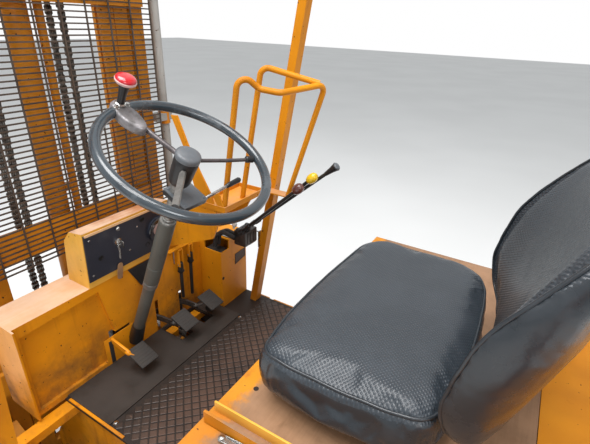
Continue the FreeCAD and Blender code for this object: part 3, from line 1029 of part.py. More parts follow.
def make_tilt():
    """Tilt cylinders between the frame and the mast, each with its rod."""
    run_x, run_z = "(tilt_eye_x - tilt_barrel_x)", "(tilt_eye_z - tilt_barrel_z)"
    lean = f"90 deg - atan({run_z} / {run_x})"
    length = f"sqrt({run_x} ^ 2 + {run_z} ^ 2)"
    for side, sign in SIDES:
        def on_line(part):
            part.Placement = Placement(Vector(), Rotation(Vector(0, 1, 0), 80))
            bind(part, Placement__Rotation__Angle=lean)
            return move(part, "tilt_barrel_x", f"{sign} * tilt_y", "tilt_barrel_z")

        def round_piece(name, radius, low, high):
            part = doc.addObject("Part::Cylinder", f"{name}_{side}")
            bind(part, Radius=radius, Height=f"({high}) - ({low})", Placement__Base__z=low)
            return part

        tube = cut(f"tilt_tube_{side}", round_piece("tilt_barrel_form", "tilt_r", "30", "tilt_length"),
                   [round_piece("tilt_barrel_bore", "tilt_rod_r + run_gap", "60", "tilt_length + 5")])
        root = doc.addObject("Part::Box", f"tilt_root_{side}")
        bind(root, Length="44", Width="24", Height="52", Placement__Base__x="-22", Placement__Base__y="-12",
             Placement__Base__z="-18")
        barrel = join(f"tilt_barrel_joined_{side}", [tube, root])
        on_line(barrel)
        pin = rod(f"tilt_root_bore_{side}", "y", "tilt_pin_r + run_gap",
                  (f"{sign} * tilt_y - 60", f"{sign} * tilt_y + 60"), x="tilt_barrel_x", z="tilt_barrel_z")
        keep(f"tilt_barrel_{side}", cut(f"tilt_barrel_bored_{side}", barrel, [pin]))
        eye = doc.addObject("Part::Box", f"tilt_eye_{side}")
        bind(eye, Length="46", Width="24", Height="46", Placement__Base__x="-23", Placement__Base__y="-12",
             Placement__Base__z=f"{length} - 23")
        shank = round_piece("tilt_rod_form", "tilt_rod_r", "90", f"{length} - 12")
        rod_part = join(f"tilt_rod_joined_{side}", [shank, eye])
        on_line(rod_part)
        bore = rod(f"tilt_eye_bore_{side}", "y", "tilt_pin_r + eye_gap",
                   (f"{sign} * tilt_y - 60", f"{sign} * tilt_y + 60"), x="tilt_eye_x", z="tilt_eye_z")
        keep(f"tilt_rod_{side}", cut(f"tilt_rod_bored_{side}", rod_part, [bore]))


for make in (make_chassis, make_counterweight, make_floor, make_cowl, make_dash, make_side_box, make_steering,
             make_controls, make_hoop, make_guard, make_hood, make_wheels, make_mast, make_mast_gear,
             make_carriage, make_tilt):
    make()
doc.recompute()
for piece in doc.Objects:
    if "Invalid" in piece.State or "Error" in piece.State:
        raise RuntimeError(f"{piece.Label} has state {piece.State}")
    if hasattr(piece, "Shape") and piece.TypeId.startswith(("Part::", "PartDesign::")):
        if piece.Shape.isNull() or not piece.Shape.isValid():
            raise RuntimeError(f"{piece.Label} has no valid shape")

os.makedirs("parts", exist_ok=True)
for label, part in nodes.items():
    part.Shape.exportStep(f"parts/{label}.step")
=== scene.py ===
"""Looks of a small counterbalanced forklift truck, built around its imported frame."""

import json
import math

import bmesh
import bpy
from bpy.props import FloatProperty, FloatVectorProperty, IntProperty, PointerProperty
from mathutils import Matrix, Vector, noise
from mathutils.bvhtree import BVHTree
from mathutils.kdtree import KDTree


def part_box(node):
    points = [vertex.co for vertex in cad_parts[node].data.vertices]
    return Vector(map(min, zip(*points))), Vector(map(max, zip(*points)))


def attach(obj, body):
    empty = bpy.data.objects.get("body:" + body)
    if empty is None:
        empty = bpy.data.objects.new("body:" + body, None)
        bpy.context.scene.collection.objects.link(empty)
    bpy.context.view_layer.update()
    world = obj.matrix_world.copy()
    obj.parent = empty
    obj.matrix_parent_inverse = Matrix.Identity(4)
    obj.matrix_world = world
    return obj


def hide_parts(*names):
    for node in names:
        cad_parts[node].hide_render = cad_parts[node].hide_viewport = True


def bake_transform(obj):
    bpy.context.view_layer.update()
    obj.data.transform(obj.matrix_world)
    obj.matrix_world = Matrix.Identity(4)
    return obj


bl_info = {
    "name": "Forklift Truck",
    "version": (1, 0, 0),
    "blender": (4, 5, 0),
    "location": "View3D > Sidebar > Forklift",
    "description": "Dresses the packed frame of a forklift truck with its seat, controls, wheels and paint",
    "category": "Add Mesh",
}

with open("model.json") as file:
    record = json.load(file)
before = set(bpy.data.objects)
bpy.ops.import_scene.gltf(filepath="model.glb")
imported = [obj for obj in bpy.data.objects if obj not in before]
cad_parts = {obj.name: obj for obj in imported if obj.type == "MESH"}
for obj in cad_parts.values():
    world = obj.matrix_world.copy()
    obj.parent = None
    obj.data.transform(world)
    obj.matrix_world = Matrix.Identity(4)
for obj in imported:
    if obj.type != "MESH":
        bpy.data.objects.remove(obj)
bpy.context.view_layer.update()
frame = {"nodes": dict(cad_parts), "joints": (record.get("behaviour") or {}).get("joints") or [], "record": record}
LEFT_AND_RIGHT = (("left", 1), ("right", -1))
MERGE_GAP = 1e-6  # metres within which points are one


def mm(x, y, z):
    return Vector((x, y, z)) / 1000


def joint_named(name):
    return next(joint for joint in frame["joints"] if joint["name"] == name)


WHEEL_JOINT = joint_named("steering_wheel_turn")
WHEEL_CENTRE = Vector(WHEEL_JOINT["pos_m"])
WHEEL_AXIS = Vector(WHEEL_JOINT["axis"]).normalized()


# Shapes
def around(count):
    """Angles of evenly spaced points round a circle."""
    return [2 * math.pi * i / count for i in range(count)]


def clear_of(axis):
    """Direction well off an axis."""
    return (0, 1, 0) if abs(Vector(axis).normalized().y) < 0.9 else (1, 0, 0)


def turned_to(axis, at=(0, 0, 0), across=(0, 1, 0)):
    """Matrix whose local Z lies along axis, with local Y kept near across."""
    up = Vector(axis).normalized()
    side = Vector(across).cross(up).normalized()
    return Matrix.Translation(Vector(at)) @ Matrix((side, up.cross(side), up)).transposed().to_4x4()


WHEEL_PLACE = turned_to(WHEEL_AXIS, WHEEL_CENTRE)


def add_box(bm, low, high, bevel=0.0, place=None, segments=2):
    """Box between two corners, with rounded edges."""
    low, high = Vector(low), Vector(high)
    made = bmesh.ops.create_cube(bm, size=1.0)["verts"]
    for vert in made:
        vert.co = Vector(low[i] + (vert.co[i] + 0.5) * (high[i] - low[i]) for i in range(3))
    if bevel:
        # dict.fromkeys keeps the order, where a set would change it from run to run
        edges = list(dict.fromkeys(edge for vert in made for edge in vert.link_edges))
        result = bmesh.ops.bevel(bm, geom=edges, offset=bevel, segments=segments, affect="EDGES", profile=0.6)
        rounded = [vert for face in result["faces"] for vert in face.verts]
        made = list(dict.fromkeys(rounded + [vert for vert in made if vert.is_valid]))
    if place is not None:
        bmesh.ops.transform(bm, matrix=place, verts=made)


def skin_round(bm, rings, closed):
    """Skin rows of vertices that stand round a circle; closed joins each row's ends too."""
    count = len(rings[0])
    for here, ahead in zip(rings, rings[1:] + rings[:1]):
        for j in range(count if closed else count - 1):
            k = (j + 1) % count
            bm.faces.new((here[j], ahead[j], ahead[k], here[k]))


def add_ring(bm, profile, place=None, steps=48, closed=False):
    """Surface turned about local Z from (radius, height) points."""
    rings = [[bm.verts.new((r * math.cos(angle), r * math.sin(angle), h)) for r, h in profile]
             for angle in around(steps)]
    skin_round(bm, rings, closed)
    if not closed:
        for end, flip in ((0, False), (len(profile) - 1, True)):
            if profile[end][0] > MERGE_GAP:
                cap = [ring[end] for ring in rings]
                bm.faces.new(cap if flip else cap[::-1])
    if place is not None:
        bmesh.ops.transform(bm, matrix=place, verts=[vert for ring in rings for vert in ring])


def add_rod(bm, start, end, radius, steps=20, bevel=0.001, tip=None):
    """Round bar between two points, with a small chamfer; tip is the radius at its end."""
    start, end = Vector(start), Vector(end)
    length = (end - start).length
    far = radius if tip is None else tip
    bevel = min(bevel, radius * 0.5, far * 0.5, length * 0.4)
    profile = [(radius - bevel, 0), (radius, bevel), (far, length - bevel), (far - bevel, length)]
    add_ring(bm, profile, turned_to(end - start, start, clear_of(end - start)), steps)


def rounded_route(points, bend, steps=6):
    """Points of a bent tube: straight runs joined by arcs."""
    points = [Vector(p) for p in points]
    route = [points[0]]
    for before, corner, after in zip(points, points[1:], points[2:]):
        back, ahead = (before - corner).normalized(), (after - corner).normalized()
        half = back.angle(ahead) / 2
        reach = bend / math.tan(half)
        centre = corner + (back + ahead).normalized() * bend / math.sin(half)
        first, last = corner + back * reach - centre, corner + ahead * reach - centre
        sweep = first.angle(last)
        for i in range(steps + 1):
            share = i / steps
            route.append(centre + (first * math.sin((1 - share) * sweep) + last * math.sin(share * sweep))
                         / math.sin(sweep))
    route.append(points[-1])
    return route


def add_tube(bm, route, radius, sides=12, closed=False):
    """Tube swept along a route, with flat ends."""
    route = [Vector(p) for p in route]
    count = len(route)
    rings = []
    normal = None
    for i, point in enumerate(route):
        before = route[(i - 1) % count] if closed or i else point
        after = route[(i + 1) % count] if closed or i < count - 1 else point
        along = (after - before).normalized()
        if normal is None:
            normal = along.orthogonal().normalized()
        normal = (normal - along * normal.dot(along)).normalized()
        other = along.cross(normal)
        rings.append([bm.verts.new(point + (normal * math.cos(a) + other * math.sin(a)) * radius)
                      for a in around(sides)])
    for i in range(count if closed else count - 1):
        here, ahead = rings[i], rings[(i + 1) % count]
        for j in range(sides):
            k = (j + 1) % sides
            bm.faces.new((here[j], here[k], ahead[k], ahead[j]))
    if not closed:
        bm.faces.new(rings[0][::-1])
        bm.faces.new(rings[-1])


def add_hex(bm, at, axis, across, height):
    """Hexagon bolt head with a washer under it."""
    place = turned_to(axis, at, clear_of(axis))
    add_ring(bm, [(across * 0.78, 0), (across * 0.78, height * 0.2), (across * 0.5, height * 0.2)], place, 20)
    add_ring(bm, [(across * 0.55, height * 0.15), (across * 0.56, height * 0.9), (across * 0.47, height)], place, 6)


def new_object(name, bm, material=None):
    """Object in the scene with the mesh of a bmesh, which is freed."""
    mesh = bpy.data.meshes.new(name)
    bm.to_mesh(mesh)
    bm.free()
    if material is not None:
        mesh.materials.append(material)
    obj = bpy.data.objects.new(name, mesh)
    bpy.context.scene.collection.objects.link(obj)
    return obj


def make_piece(name, bm, body, material, sharp=35, replaces=()):
    """Turn a finished bmesh into an object that rides on a body; edges over sharp degrees stay sharp."""
    bmesh.ops.remove_doubles(bm, verts=bm.verts, dist=MERGE_GAP)
    bmesh.ops.recalc_face_normals(bm, faces=bm.faces)
    obj = new_object(name, bm, material)
    obj.data.shade_smooth()
    obj.data.set_sharp_from_angle(angle=math.radians(sharp))
    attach(obj, body)
    if replaces:
        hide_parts(*replaces)
    return obj


# Shader effects
def node_group(name, inputs, outputs):
    """Empty node group with named sockets; returns its tree, input node and output node."""
    tree = bpy.data.node_groups.new(name, "ShaderNodeTree")
    for label, kind, value in inputs:
        socket = tree.interface.new_socket(name=label, in_out="INPUT", socket_type=kind)
        socket.default_value = value
    for label, kind in outputs:
        tree.interface.new_socket(name=label, in_out="OUTPUT", socket_type=kind)
    return tree, tree.nodes.new("NodeGroupInput"), tree.nodes.new("NodeGroupOutput")


class Wiring:
    """Short calls for adding linked nodes to one tree."""

    def __init__(self, tree):
        self.tree = tree

    def feed(self, socket, value):
        if isinstance(value, bpy.types.NodeSocket):
            self.tree.links.new(value, socket)
        else:
            socket.default_value = value

    def math(self, operation, *values):
        node = self.tree.nodes.new("ShaderNodeMath")
        node.operation = operation
        for socket, value in zip(node.inputs, values):
            self.feed(socket, value)
        return node.outputs[0]

    def mix(self, share, one, other):
        node = self.tree.nodes.new("ShaderNodeMix")
        node.data_type = "RGBA"
        # Sockets 6, 7 and output 2 are the node's colours
        for socket, value in ((0, share), (6, one), (7, other)):
            self.feed(node.inputs[socket], value)
        return node.outputs[2]

    def ramp(self, value, low, high, at_low=0.0, at_high=1.0):
        node = self.tree.nodes.new("ShaderNodeMapRange")
        node.interpolation_type = "SMOOTHSTEP"
        for socket, number in zip(node.inputs, (value, low, high, at_low, at_high)):
            self.feed(socket, number)
        return node.outputs[0]

    def where(self, scale=(1, 1, 1), turn=(0, 0, 0)):
        """Place on the object, stretched and turned."""
        coords = self.tree.nodes.new("ShaderNodeTexCoord")
        mapping = self.tree.nodes.new("ShaderNodeMapping")
        mapping.inputs["Scale"].default_value = scale
        mapping.inputs["Rotation"].default_value = turn
        self.tree.links.new(coords.outputs["Object"], mapping.inputs["Vector"])
        return mapping.outputs[0]

    def turned(self, place, angle):
        """A place turned about Z."""
        mapping = self.tree.nodes.new("ShaderNodeMapping")
        mapping.inputs["Rotation"].default_value = (0, 0, angle)
        self.tree.links.new(place, mapping.inputs["Vector"])
        return mapping.outputs[0]

    def noise(self, scale, detail=4.0, rough=0.55, at=None):
        node = self.tree.nodes.new("ShaderNodeTexNoise")
        self.feed(node.inputs["Scale"], scale)
        node.inputs["Detail"].default_value = detail
        node.inputs["Roughness"].default_value = rough
        self.tree.links.new(self.where() if at is None else at, node.inputs["Vector"])
        return node.outputs["Fac"]

    def wave(self, scale, at):
        node = self.tree.nodes.new("ShaderNodeTexWave")
        node.wave_type = "BANDS"
        node.bands_direction = "X"
        self.feed(node.inputs["Scale"], scale)
        self.tree.links.new(at, node.inputs["Vector"])
        return node.outputs["Fac"]

    def along(self, axis):
        """One coordinate of the place on the object."""
        split = self.tree.nodes.new("ShaderNodeSeparateXYZ")
        self.tree.links.new(self.where(), split.inputs[0])
        return split.outputs["XYZ".index(axis)]

    def facing(self, axis):
        """How much the surface faces along +axis."""
        geometry = self.tree.nodes.new("ShaderNodeNewGeometry")
        split = self.tree.nodes.new("ShaderNodeSeparateXYZ")
        self.tree.links.new(geometry.outputs["Normal"], split.inputs[0])
        return split.outputs["XYZ".index(axis)]


def worn_paint_group():
    """Old paint: drifting tone, rust specks, streaks and rubbed places."""
    tree, given, result = node_group("Worn paint", [
        ("Paint", "NodeSocketColor", (0.7, 0.3, 0.05, 1)), ("Aged", "NodeSocketColor", (0.4, 0.15, 0.03, 1)),
        ("Rust", "NodeSocketColor", (0.1, 0.03, 0.01, 1)), ("Specks", "NodeSocketFloat", 0.5),
        ("Ageing", "NodeSocketFloat", 0.5)],
        [("Color", "NodeSocketColor"), ("Roughness", "NodeSocketFloat"), ("Height", "NodeSocketFloat")])
    wire = Wiring(tree)
    drift = wire.ramp(wire.noise(3.0, 3.0), 0.35, 0.7)
    streaks = wire.ramp(wire.noise(1.0, 3.0, 0.6, wire.where((28, 28, 2.4))), 0.48, 0.78)
    age = wire.math("MULTIPLY", wire.math("MAXIMUM", drift, streaks), given.outputs["Ageing"])
    paint = wire.mix(age, given.outputs["Paint"], given.outputs["Aged"])
    fine = wire.noise(95.0, 2.0)
    patch = wire.ramp(wire.noise(9.0, 3.0), 0.42, 0.62)
    level = wire.math("SUBTRACT", 0.80, wire.math("MULTIPLY", given.outputs["Specks"], 0.14))
    speck = wire.math("GREATER_THAN", wire.math("ADD", fine, wire.math("MULTIPLY", patch, 0.04)), level)
    scratch = wire.ramp(wire.noise(1.0, 6.0, 0.7, wire.where((60, 9, 60), (0.3, 0.2, 0.5))), 0.69, 0.74)
    worn = wire.math("MULTIPLY", scratch, wire.math("MULTIPLY", given.outputs["Specks"], 0.7))
    rust = wire.math("MAXIMUM", speck, worn)
    wire.feed(result.inputs["Color"], wire.mix(rust, paint, given.outputs["Rust"]))
    wire.feed(result.inputs["Roughness"], wire.ramp(wire.math("ADD", age, rust), 0.0, 1.4, 0.36, 0.8))
    wire.feed(result.inputs["Height"], wire.math("ADD", wire.math("MULTIPLY", rust, -0.5), wire.noise(160.0, 2.0)))
    return tree


def grime_group():
    """Dirt that settles low down and in patches."""
    tree, given, result = node_group("Grime", [
        ("Color", "NodeSocketColor", (0.5, 0.5, 0.5, 1)), ("Dirt", "NodeSocketColor", (0.06, 0.045, 0.035, 1)),
        ("Low", "NodeSocketFloat", 0.0), ("High", "NodeSocketFloat", 0.5), ("Amount", "NodeSocketFloat", 0.6)],
        [("Color", "NodeSocketColor"), ("Mask", "NodeSocketFloat")])
    wire = Wiring(tree)
    height = wire.ramp(wire.along("Z"), given.outputs["Low"], given.outputs["High"], 1.0, 0.12)
    cloud = wire.ramp(wire.noise(7.0, 6.0, 0.65), 0.36, 0.7)
    mask = wire.math("MULTIPLY", wire.math("MULTIPLY", height, cloud), given.outputs["Amount"])
    wire.feed(result.inputs["Color"], wire.mix(mask, given.outputs["Color"], given.outputs["Dirt"]))
    wire.feed(result.inputs["Mask"], mask)
    return tree


def basket_vinyl_group():
    """Fine woven relief pressed into vinyl."""
    tree, given, result = node_group("Basket vinyl", [("Pitch", "NodeSocketFloat", 0.005),
                                                      ("Place", "NodeSocketVector", (0, 0, 0))],
                                     [("Height", "NodeSocketFloat"), ("Mask", "NodeSocketFloat")])
    wire = Wiring(tree)
    # A band texture of scale s repeats every pi / 10 / s
    bands = wire.math("DIVIDE", 0.314159, given.outputs["Pitch"])
    one, other = (wire.wave(bands, wire.turned(given.outputs["Place"], math.radians(turn))) for turn in (38, -52))
    weave = wire.math("MULTIPLY", one, other)
    wire.feed(result.inputs["Height"], weave)
    wire.feed(result.inputs["Mask"], wire.ramp(weave, 0.1, 0.6))
    return tree


def rubbed_top_group():
    """Flat top rubbed through its paint: cloudy tone, long scuffs and small dark stains."""
    tree, given, result = node_group("Rubbed top", [
        ("Light", "NodeSocketColor", (0.5, 0.3, 0.16, 1)), ("Dark", "NodeSocketColor", (0.3, 0.15, 0.07, 1))],
        [("Color", "NodeSocketColor"), ("Height", "NodeSocketFloat")])
    wire = Wiring(tree)
    cloud = wire.noise(5.5, 6.0, 0.62)
    scuffs = wire.noise(1.0, 5.0, 0.7, wire.where((130, 9, 40), (0, 0, 0.5)))
    stain = wire.ramp(wire.noise(23.0, 4.0, 0.6), 0.60, 0.72)
    grain = wire.math("ADD", wire.math("MULTIPLY", cloud, 0.8), wire.math("MULTIPLY", scuffs, 0.25))
    tone = wire.mix(wire.ramp(grain, 0.40, 0.72), given.outputs["Light"], given.outputs["Dark"])
    wire.feed(result.inputs["Color"], wire.mix(wire.math("MULTIPLY", stain, 0.5), tone, given.outputs["Dark"]))
    wire.feed(result.inputs["Height"], grain)
    return tree


GROUP_MAKERS = {"Worn paint": worn_paint_group, "Grime": grime_group, "Basket vinyl": basket_vinyl_group,
                "Rubbed top": rubbed_top_group}
GROUPS = {}


def effect(tree, name, **values):
    """Place a shared effect in a material and set its inputs."""
    if name not in GROUPS:
        GROUPS[name] = GROUP_MAKERS[name]()
    node = tree.nodes.new("ShaderNodeGroup")
    node.node_tree = GROUPS[name]
    for label, value in values.items():
        Wiring(tree).feed(node.inputs[label.replace("_", " ")], value)
    return node


def colour(value):
    return (*value[:3], 1.0)


def new_material(**plain):
    """Material with a Principled shader; plain values are set on its own sockets."""
    material = bpy.data.materials.new("Finish")
    material.use_nodes = True
    shader = material.node_tree.nodes["Principled BSDF"]
    for label, value in plain.items():
        shader.inputs[label.replace("_", " ")].default_value = value
    return material, material.node_tree, shader


def add_bump(tree, shader, height, strength, distance):
    bump = tree.nodes.new("ShaderNodeBump")
    bump.inputs["Strength"].default_value = strength
    bump.inputs["Distance"].default_value = distance
    tree.links.new(height, bump.inputs["Height"])
    tree.links.new(bump.outputs[0], shader.inputs["Normal"])


def painted(paint, aged, rust, specks, ageing, dirt, low, high, top=None, edge=None, above=None,
            dirt_colour=(0.06, 0.045, 0.035)):
    """Worn paint with grime; top gives another finish to faces that look up, behind edge in X and over above in Z."""
    material, tree, shader = new_material(Specular_IOR_Level=0.22)
    wire = Wiring(tree)
    coat = effect(tree, "Worn paint", Paint=colour(paint), Aged=colour(aged), Rust=colour(rust), Specks=specks,
                  Ageing=ageing)
    base = coat.outputs["Color"]
    if top is not None:
        rubbed = effect(tree, "Rubbed top", Light=colour(top[0]), Dark=colour(top[1]))
        share = wire.ramp(wire.facing("Z"), 0.8, 0.95)
        if edge is not None:
            drift = wire.math("MULTIPLY_ADD", wire.noise(16.0, 5.0, 0.7), 0.11, -0.055)
            across = wire.math("ADD", wire.along("X"), drift)
            share = wire.math("MULTIPLY", share, wire.ramp(across, edge[0], edge[1], 1.0, 0.12))
        if above is not None:
            share = wire.math("MULTIPLY", share, wire.ramp(wire.along("Z"), above, above + 0.02))
        base = wire.mix(share, base, rubbed.outputs["Color"])
    dirty = effect(tree, "Grime", Color=base, Dirt=colour(dirt_colour), Low=low, High=high, Amount=dirt)
    tree.links.new(dirty.outputs["Color"], shader.inputs["Base Color"])
    tree.links.new(wire.math("ADD", coat.outputs["Roughness"], wire.math("MULTIPLY", dirty.outputs["Mask"], 0.3)),
                   shader.inputs["Roughness"])
    add_bump(tree, shader, coat.outputs["Height"], 0.25, 0.0006)
    return material


def metal(tone, dark, rough, metallic, scale=40.0, dirt=0.4):
    """Bare or greasy metal with smears."""
    material, tree, shader = new_material(Metallic=metallic)
    wire = Wiring(tree)
    smear = wire.ramp(wire.noise(scale, 5.0, 0.6), 0.35, 0.7)
    grain = wire.noise(1.0, 4.0, 0.6, wire.where((scale * 3, scale * 3, scale * 0.6)))
    dirty = effect(tree, "Grime", Color=wire.mix(smear, colour(tone), colour(dark)), Low=-1.0, High=4.0, Amount=dirt)
    tree.links.new(dirty.outputs["Color"], shader.inputs["Base Color"])
    tree.links.new(wire.ramp(smear, 0.0, 1.0, rough[0], rough[1]), shader.inputs["Roughness"])
    add_bump(tree, shader, grain, 0.2, 0.0004)
    return material


def moulded(tone, worn, rough, grain=300.0, coat=0.0, depth=0.15):
    """Moulded plastic or rubber with fine grain and scuffed places."""
    material, tree, shader = new_material(Coat_Weight=coat, Coat_Roughness=0.12)
    wire = Wiring(tree)
    scuff = wire.ramp(wire.noise(14.0, 6.0, 0.65), 0.5, 0.75)
    tree.links.new(wire.mix(scuff, colour(tone), colour(worn)), shader.inputs["Base Color"])
    tree.links.new(wire.ramp(scuff, 0.0, 1.0, rough, min(rough + 0.3, 0.95)), shader.inputs["Roughness"])
    add_bump(tree, shader, wire.noise(grain, 2.0), depth, 0.0005)
    return material


# Settings
def colour_setting(name, description, value):
    return FloatVectorProperty(name=name, description=description, subtype="COLOR", size=3, min=0, max=1,
                               default=value)


def length_setting(name, description, value):
    return FloatProperty(name=name, description=description, unit="LENGTH", min=0.0, default=value)


class ForkliftFinish(bpy.types.PropertyGroup):
    """Colours of the paints and coverings."""
    body: colour_setting("Body paint", "Amber paint of the body, the guard and the floor's side box",
                         (0.72, 0.275, 0.008))
    body_aged: colour_setting("Aged body paint", "Tone that the body paint darkens to", (0.36, 0.098, 0.006))
    mast: colour_setting("Mast paint", "Paint of the mast and its carriage", (0.70, 0.265, 0.015))
    mast_aged: colour_setting("Aged mast paint", "Tone that the mast paint darkens to", (0.36, 0.115, 0.012))
    pale: colour_setting("Pale yellow paint", "Lighter paint of the dash box and the lever bracket",
                         (0.76, 0.42, 0.070))
    rust: colour_setting("Rust", "Rust specks and scratches", (0.060, 0.022, 0.010))
    board: colour_setting("Worn top", "Rubbed tan top of the hood", (0.36, 0.205, 0.115))
    board_dark: colour_setting("Worn top, dark", "Stains on the rubbed top of the hood", (0.215, 0.115, 0.060))
    faded: colour_setting("Faded paint", "Sun-faded pinkish paint on the cowl's top", (0.66, 0.44, 0.30))
    vinyl: colour_setting("Seat vinyl", "Blue-grey charcoal covering of the seat", (0.026, 0.034, 0.043))
    grip: colour_setting("Steering rim", "Glossy rim of the steering wheel", (0.030, 0.042, 0.052))
    cap: colour_setting("Spinner cap", "Red cap of the spinner knob", (0.50, 0.012, 0.022))
    dirt: colour_setting("Dirt", "Grease and dirt that settles low down", (0.045, 0.032, 0.024))


class ForkliftSizes(bpy.types.PropertyGroup):
    """Sizes of the details that the scene adds."""
    weave: length_setting("Weave pitch", "Spacing of the relief pressed into the vinyl", 0.0052)
    seam: length_setting("Welt radius", "Radius of the welt along the seat's seams", 0.0030)
    plate_pitch: length_setting("Plate pitch", "Spacing of the raised diamonds on the floor plate", 0.033)
    plate_rise: length_setting("Plate rise", "Height of the raised diamonds", 0.0012)
    chain_pitch: length_setting("Chain pitch", "Spacing of the lift chains' pins", 0.0159)
    tread_depth: length_setting("Tread depth", "Depth of the tyres' tread grooves", 0.011)
    tread_lugs: IntProperty(name="Tread lugs", description="Lugs round a tyre", min=8, default=24)


class ForkliftView(bpy.types.PropertyGroup):
    """Camera and light."""
    place: FloatVectorProperty(name="Camera place", description="Where the camera stands", subtype="TRANSLATION",
                               size=3, default=(-0.923, 0.690, 1.637))
    yaw: FloatProperty(name="Yaw", description="Camera's turn from the truck's right side towards the mast",
                       subtype="ANGLE", default=math.radians(30.22))
    pitch: FloatProperty(name="Pitch", description="Camera's dip below level", subtype="ANGLE",
                         default=math.radians(25.41))
    roll: FloatProperty(name="Roll", description="Camera's roll", subtype="ANGLE", default=math.radians(2.09))
    lens: FloatProperty(name="Lens", description="Focal length in mm on a 36 mm sensor", default=25.66)
    sky: FloatProperty(name="Sky strength", description="Strength of the even light from all round", default=0.55)
    lamp: FloatProperty(name="Lamp power", description="Power of the large lamp overhead", default=260.0)


# Materials
def vinyl_finish(tone, weave_turn=None, pitch=0.005, rough=(0.34, 0.5)):
    """Seat vinyl, smooth or with the woven relief seen square to weave_turn; scuffs are lightened with dust, the
    relief's ridges with a painted sheen.
    """
    material, tree, shader = new_material(Coat_Weight=0.12, Coat_Roughness=0.3)
    wire = Wiring(tree)
    scuff = wire.ramp(wire.noise(9.0, 6.0, 0.65), 0.42, 0.72)
    # Lighter tone for the scuffed patches, which is dust, and for the weave's ridges, which is painted sheen
    dust_and_sheen = tuple(min(1.0, c * 1.35 + 0.012) for c in tone[:3])
    base = wire.mix(wire.math("MULTIPLY", scuff, 0.6), colour(tone), colour(dust_and_sheen))
    height = wire.noise(420.0, 2.0)
    if weave_turn is not None:
        weave = effect(tree, "Basket vinyl", Pitch=pitch)
        tree.links.new(wire.where((1, 1, 1), weave_turn), weave.inputs["Place"])
        # The weave's ridges are lightened: painted sheen on the woven relief
        base = wire.mix(wire.math("MULTIPLY", weave.outputs["Mask"], 0.35), base, colour(dust_and_sheen))
        height = weave.outputs["Height"]
    tree.links.new(base, shader.inputs["Base Color"])
    tree.links.new(wire.ramp(scuff, 0.0, 1.0, *rough), shader.inputs["Roughness"])
    add_bump(tree, shader, height, 0.85 if weave_turn is not None else 0.12, 0.0009)
    return material


def worn_plate(tone, dark, bright, fade=None):
    """Floor plate: oily dark areas and places rubbed pale; it darkens between the two X values of fade."""
    material, tree, shader = new_material(Metallic=0.15)
    wire = Wiring(tree)
    oil_and_fade = wire.ramp(wire.noise(5.0, 6.0, 0.6), 0.42, 0.66)
    if fade is not None:
        # Darker towards the mat between the two X values of fade, on top of the oily patches
        across = wire.math("MULTIPLY_ADD", wire.noise(6.0, 3.0), 0.05, wire.along("X"))
        oil_and_fade = wire.math("MAXIMUM", wire.math("MULTIPLY", oil_and_fade, 0.55), wire.ramp(across, fade[0], fade[1], 0.0, 0.92))
    rub = wire.ramp(wire.noise(60.0, 4.0, 0.7), 0.58, 0.74)
    base = wire.mix(oil_and_fade, colour(tone), colour(dark))
    base = wire.mix(wire.math("MULTIPLY", rub, 0.4), base, colour(bright))
    tree.links.new(base, shader.inputs["Base Color"])
    tree.links.new(wire.ramp(oil_and_fade, 0.0, 1.0, 0.62, 0.45), shader.inputs["Roughness"])
    add_bump(tree, shader, wire.noise(220.0, 3.0), 0.3, 0.0005)
    return material


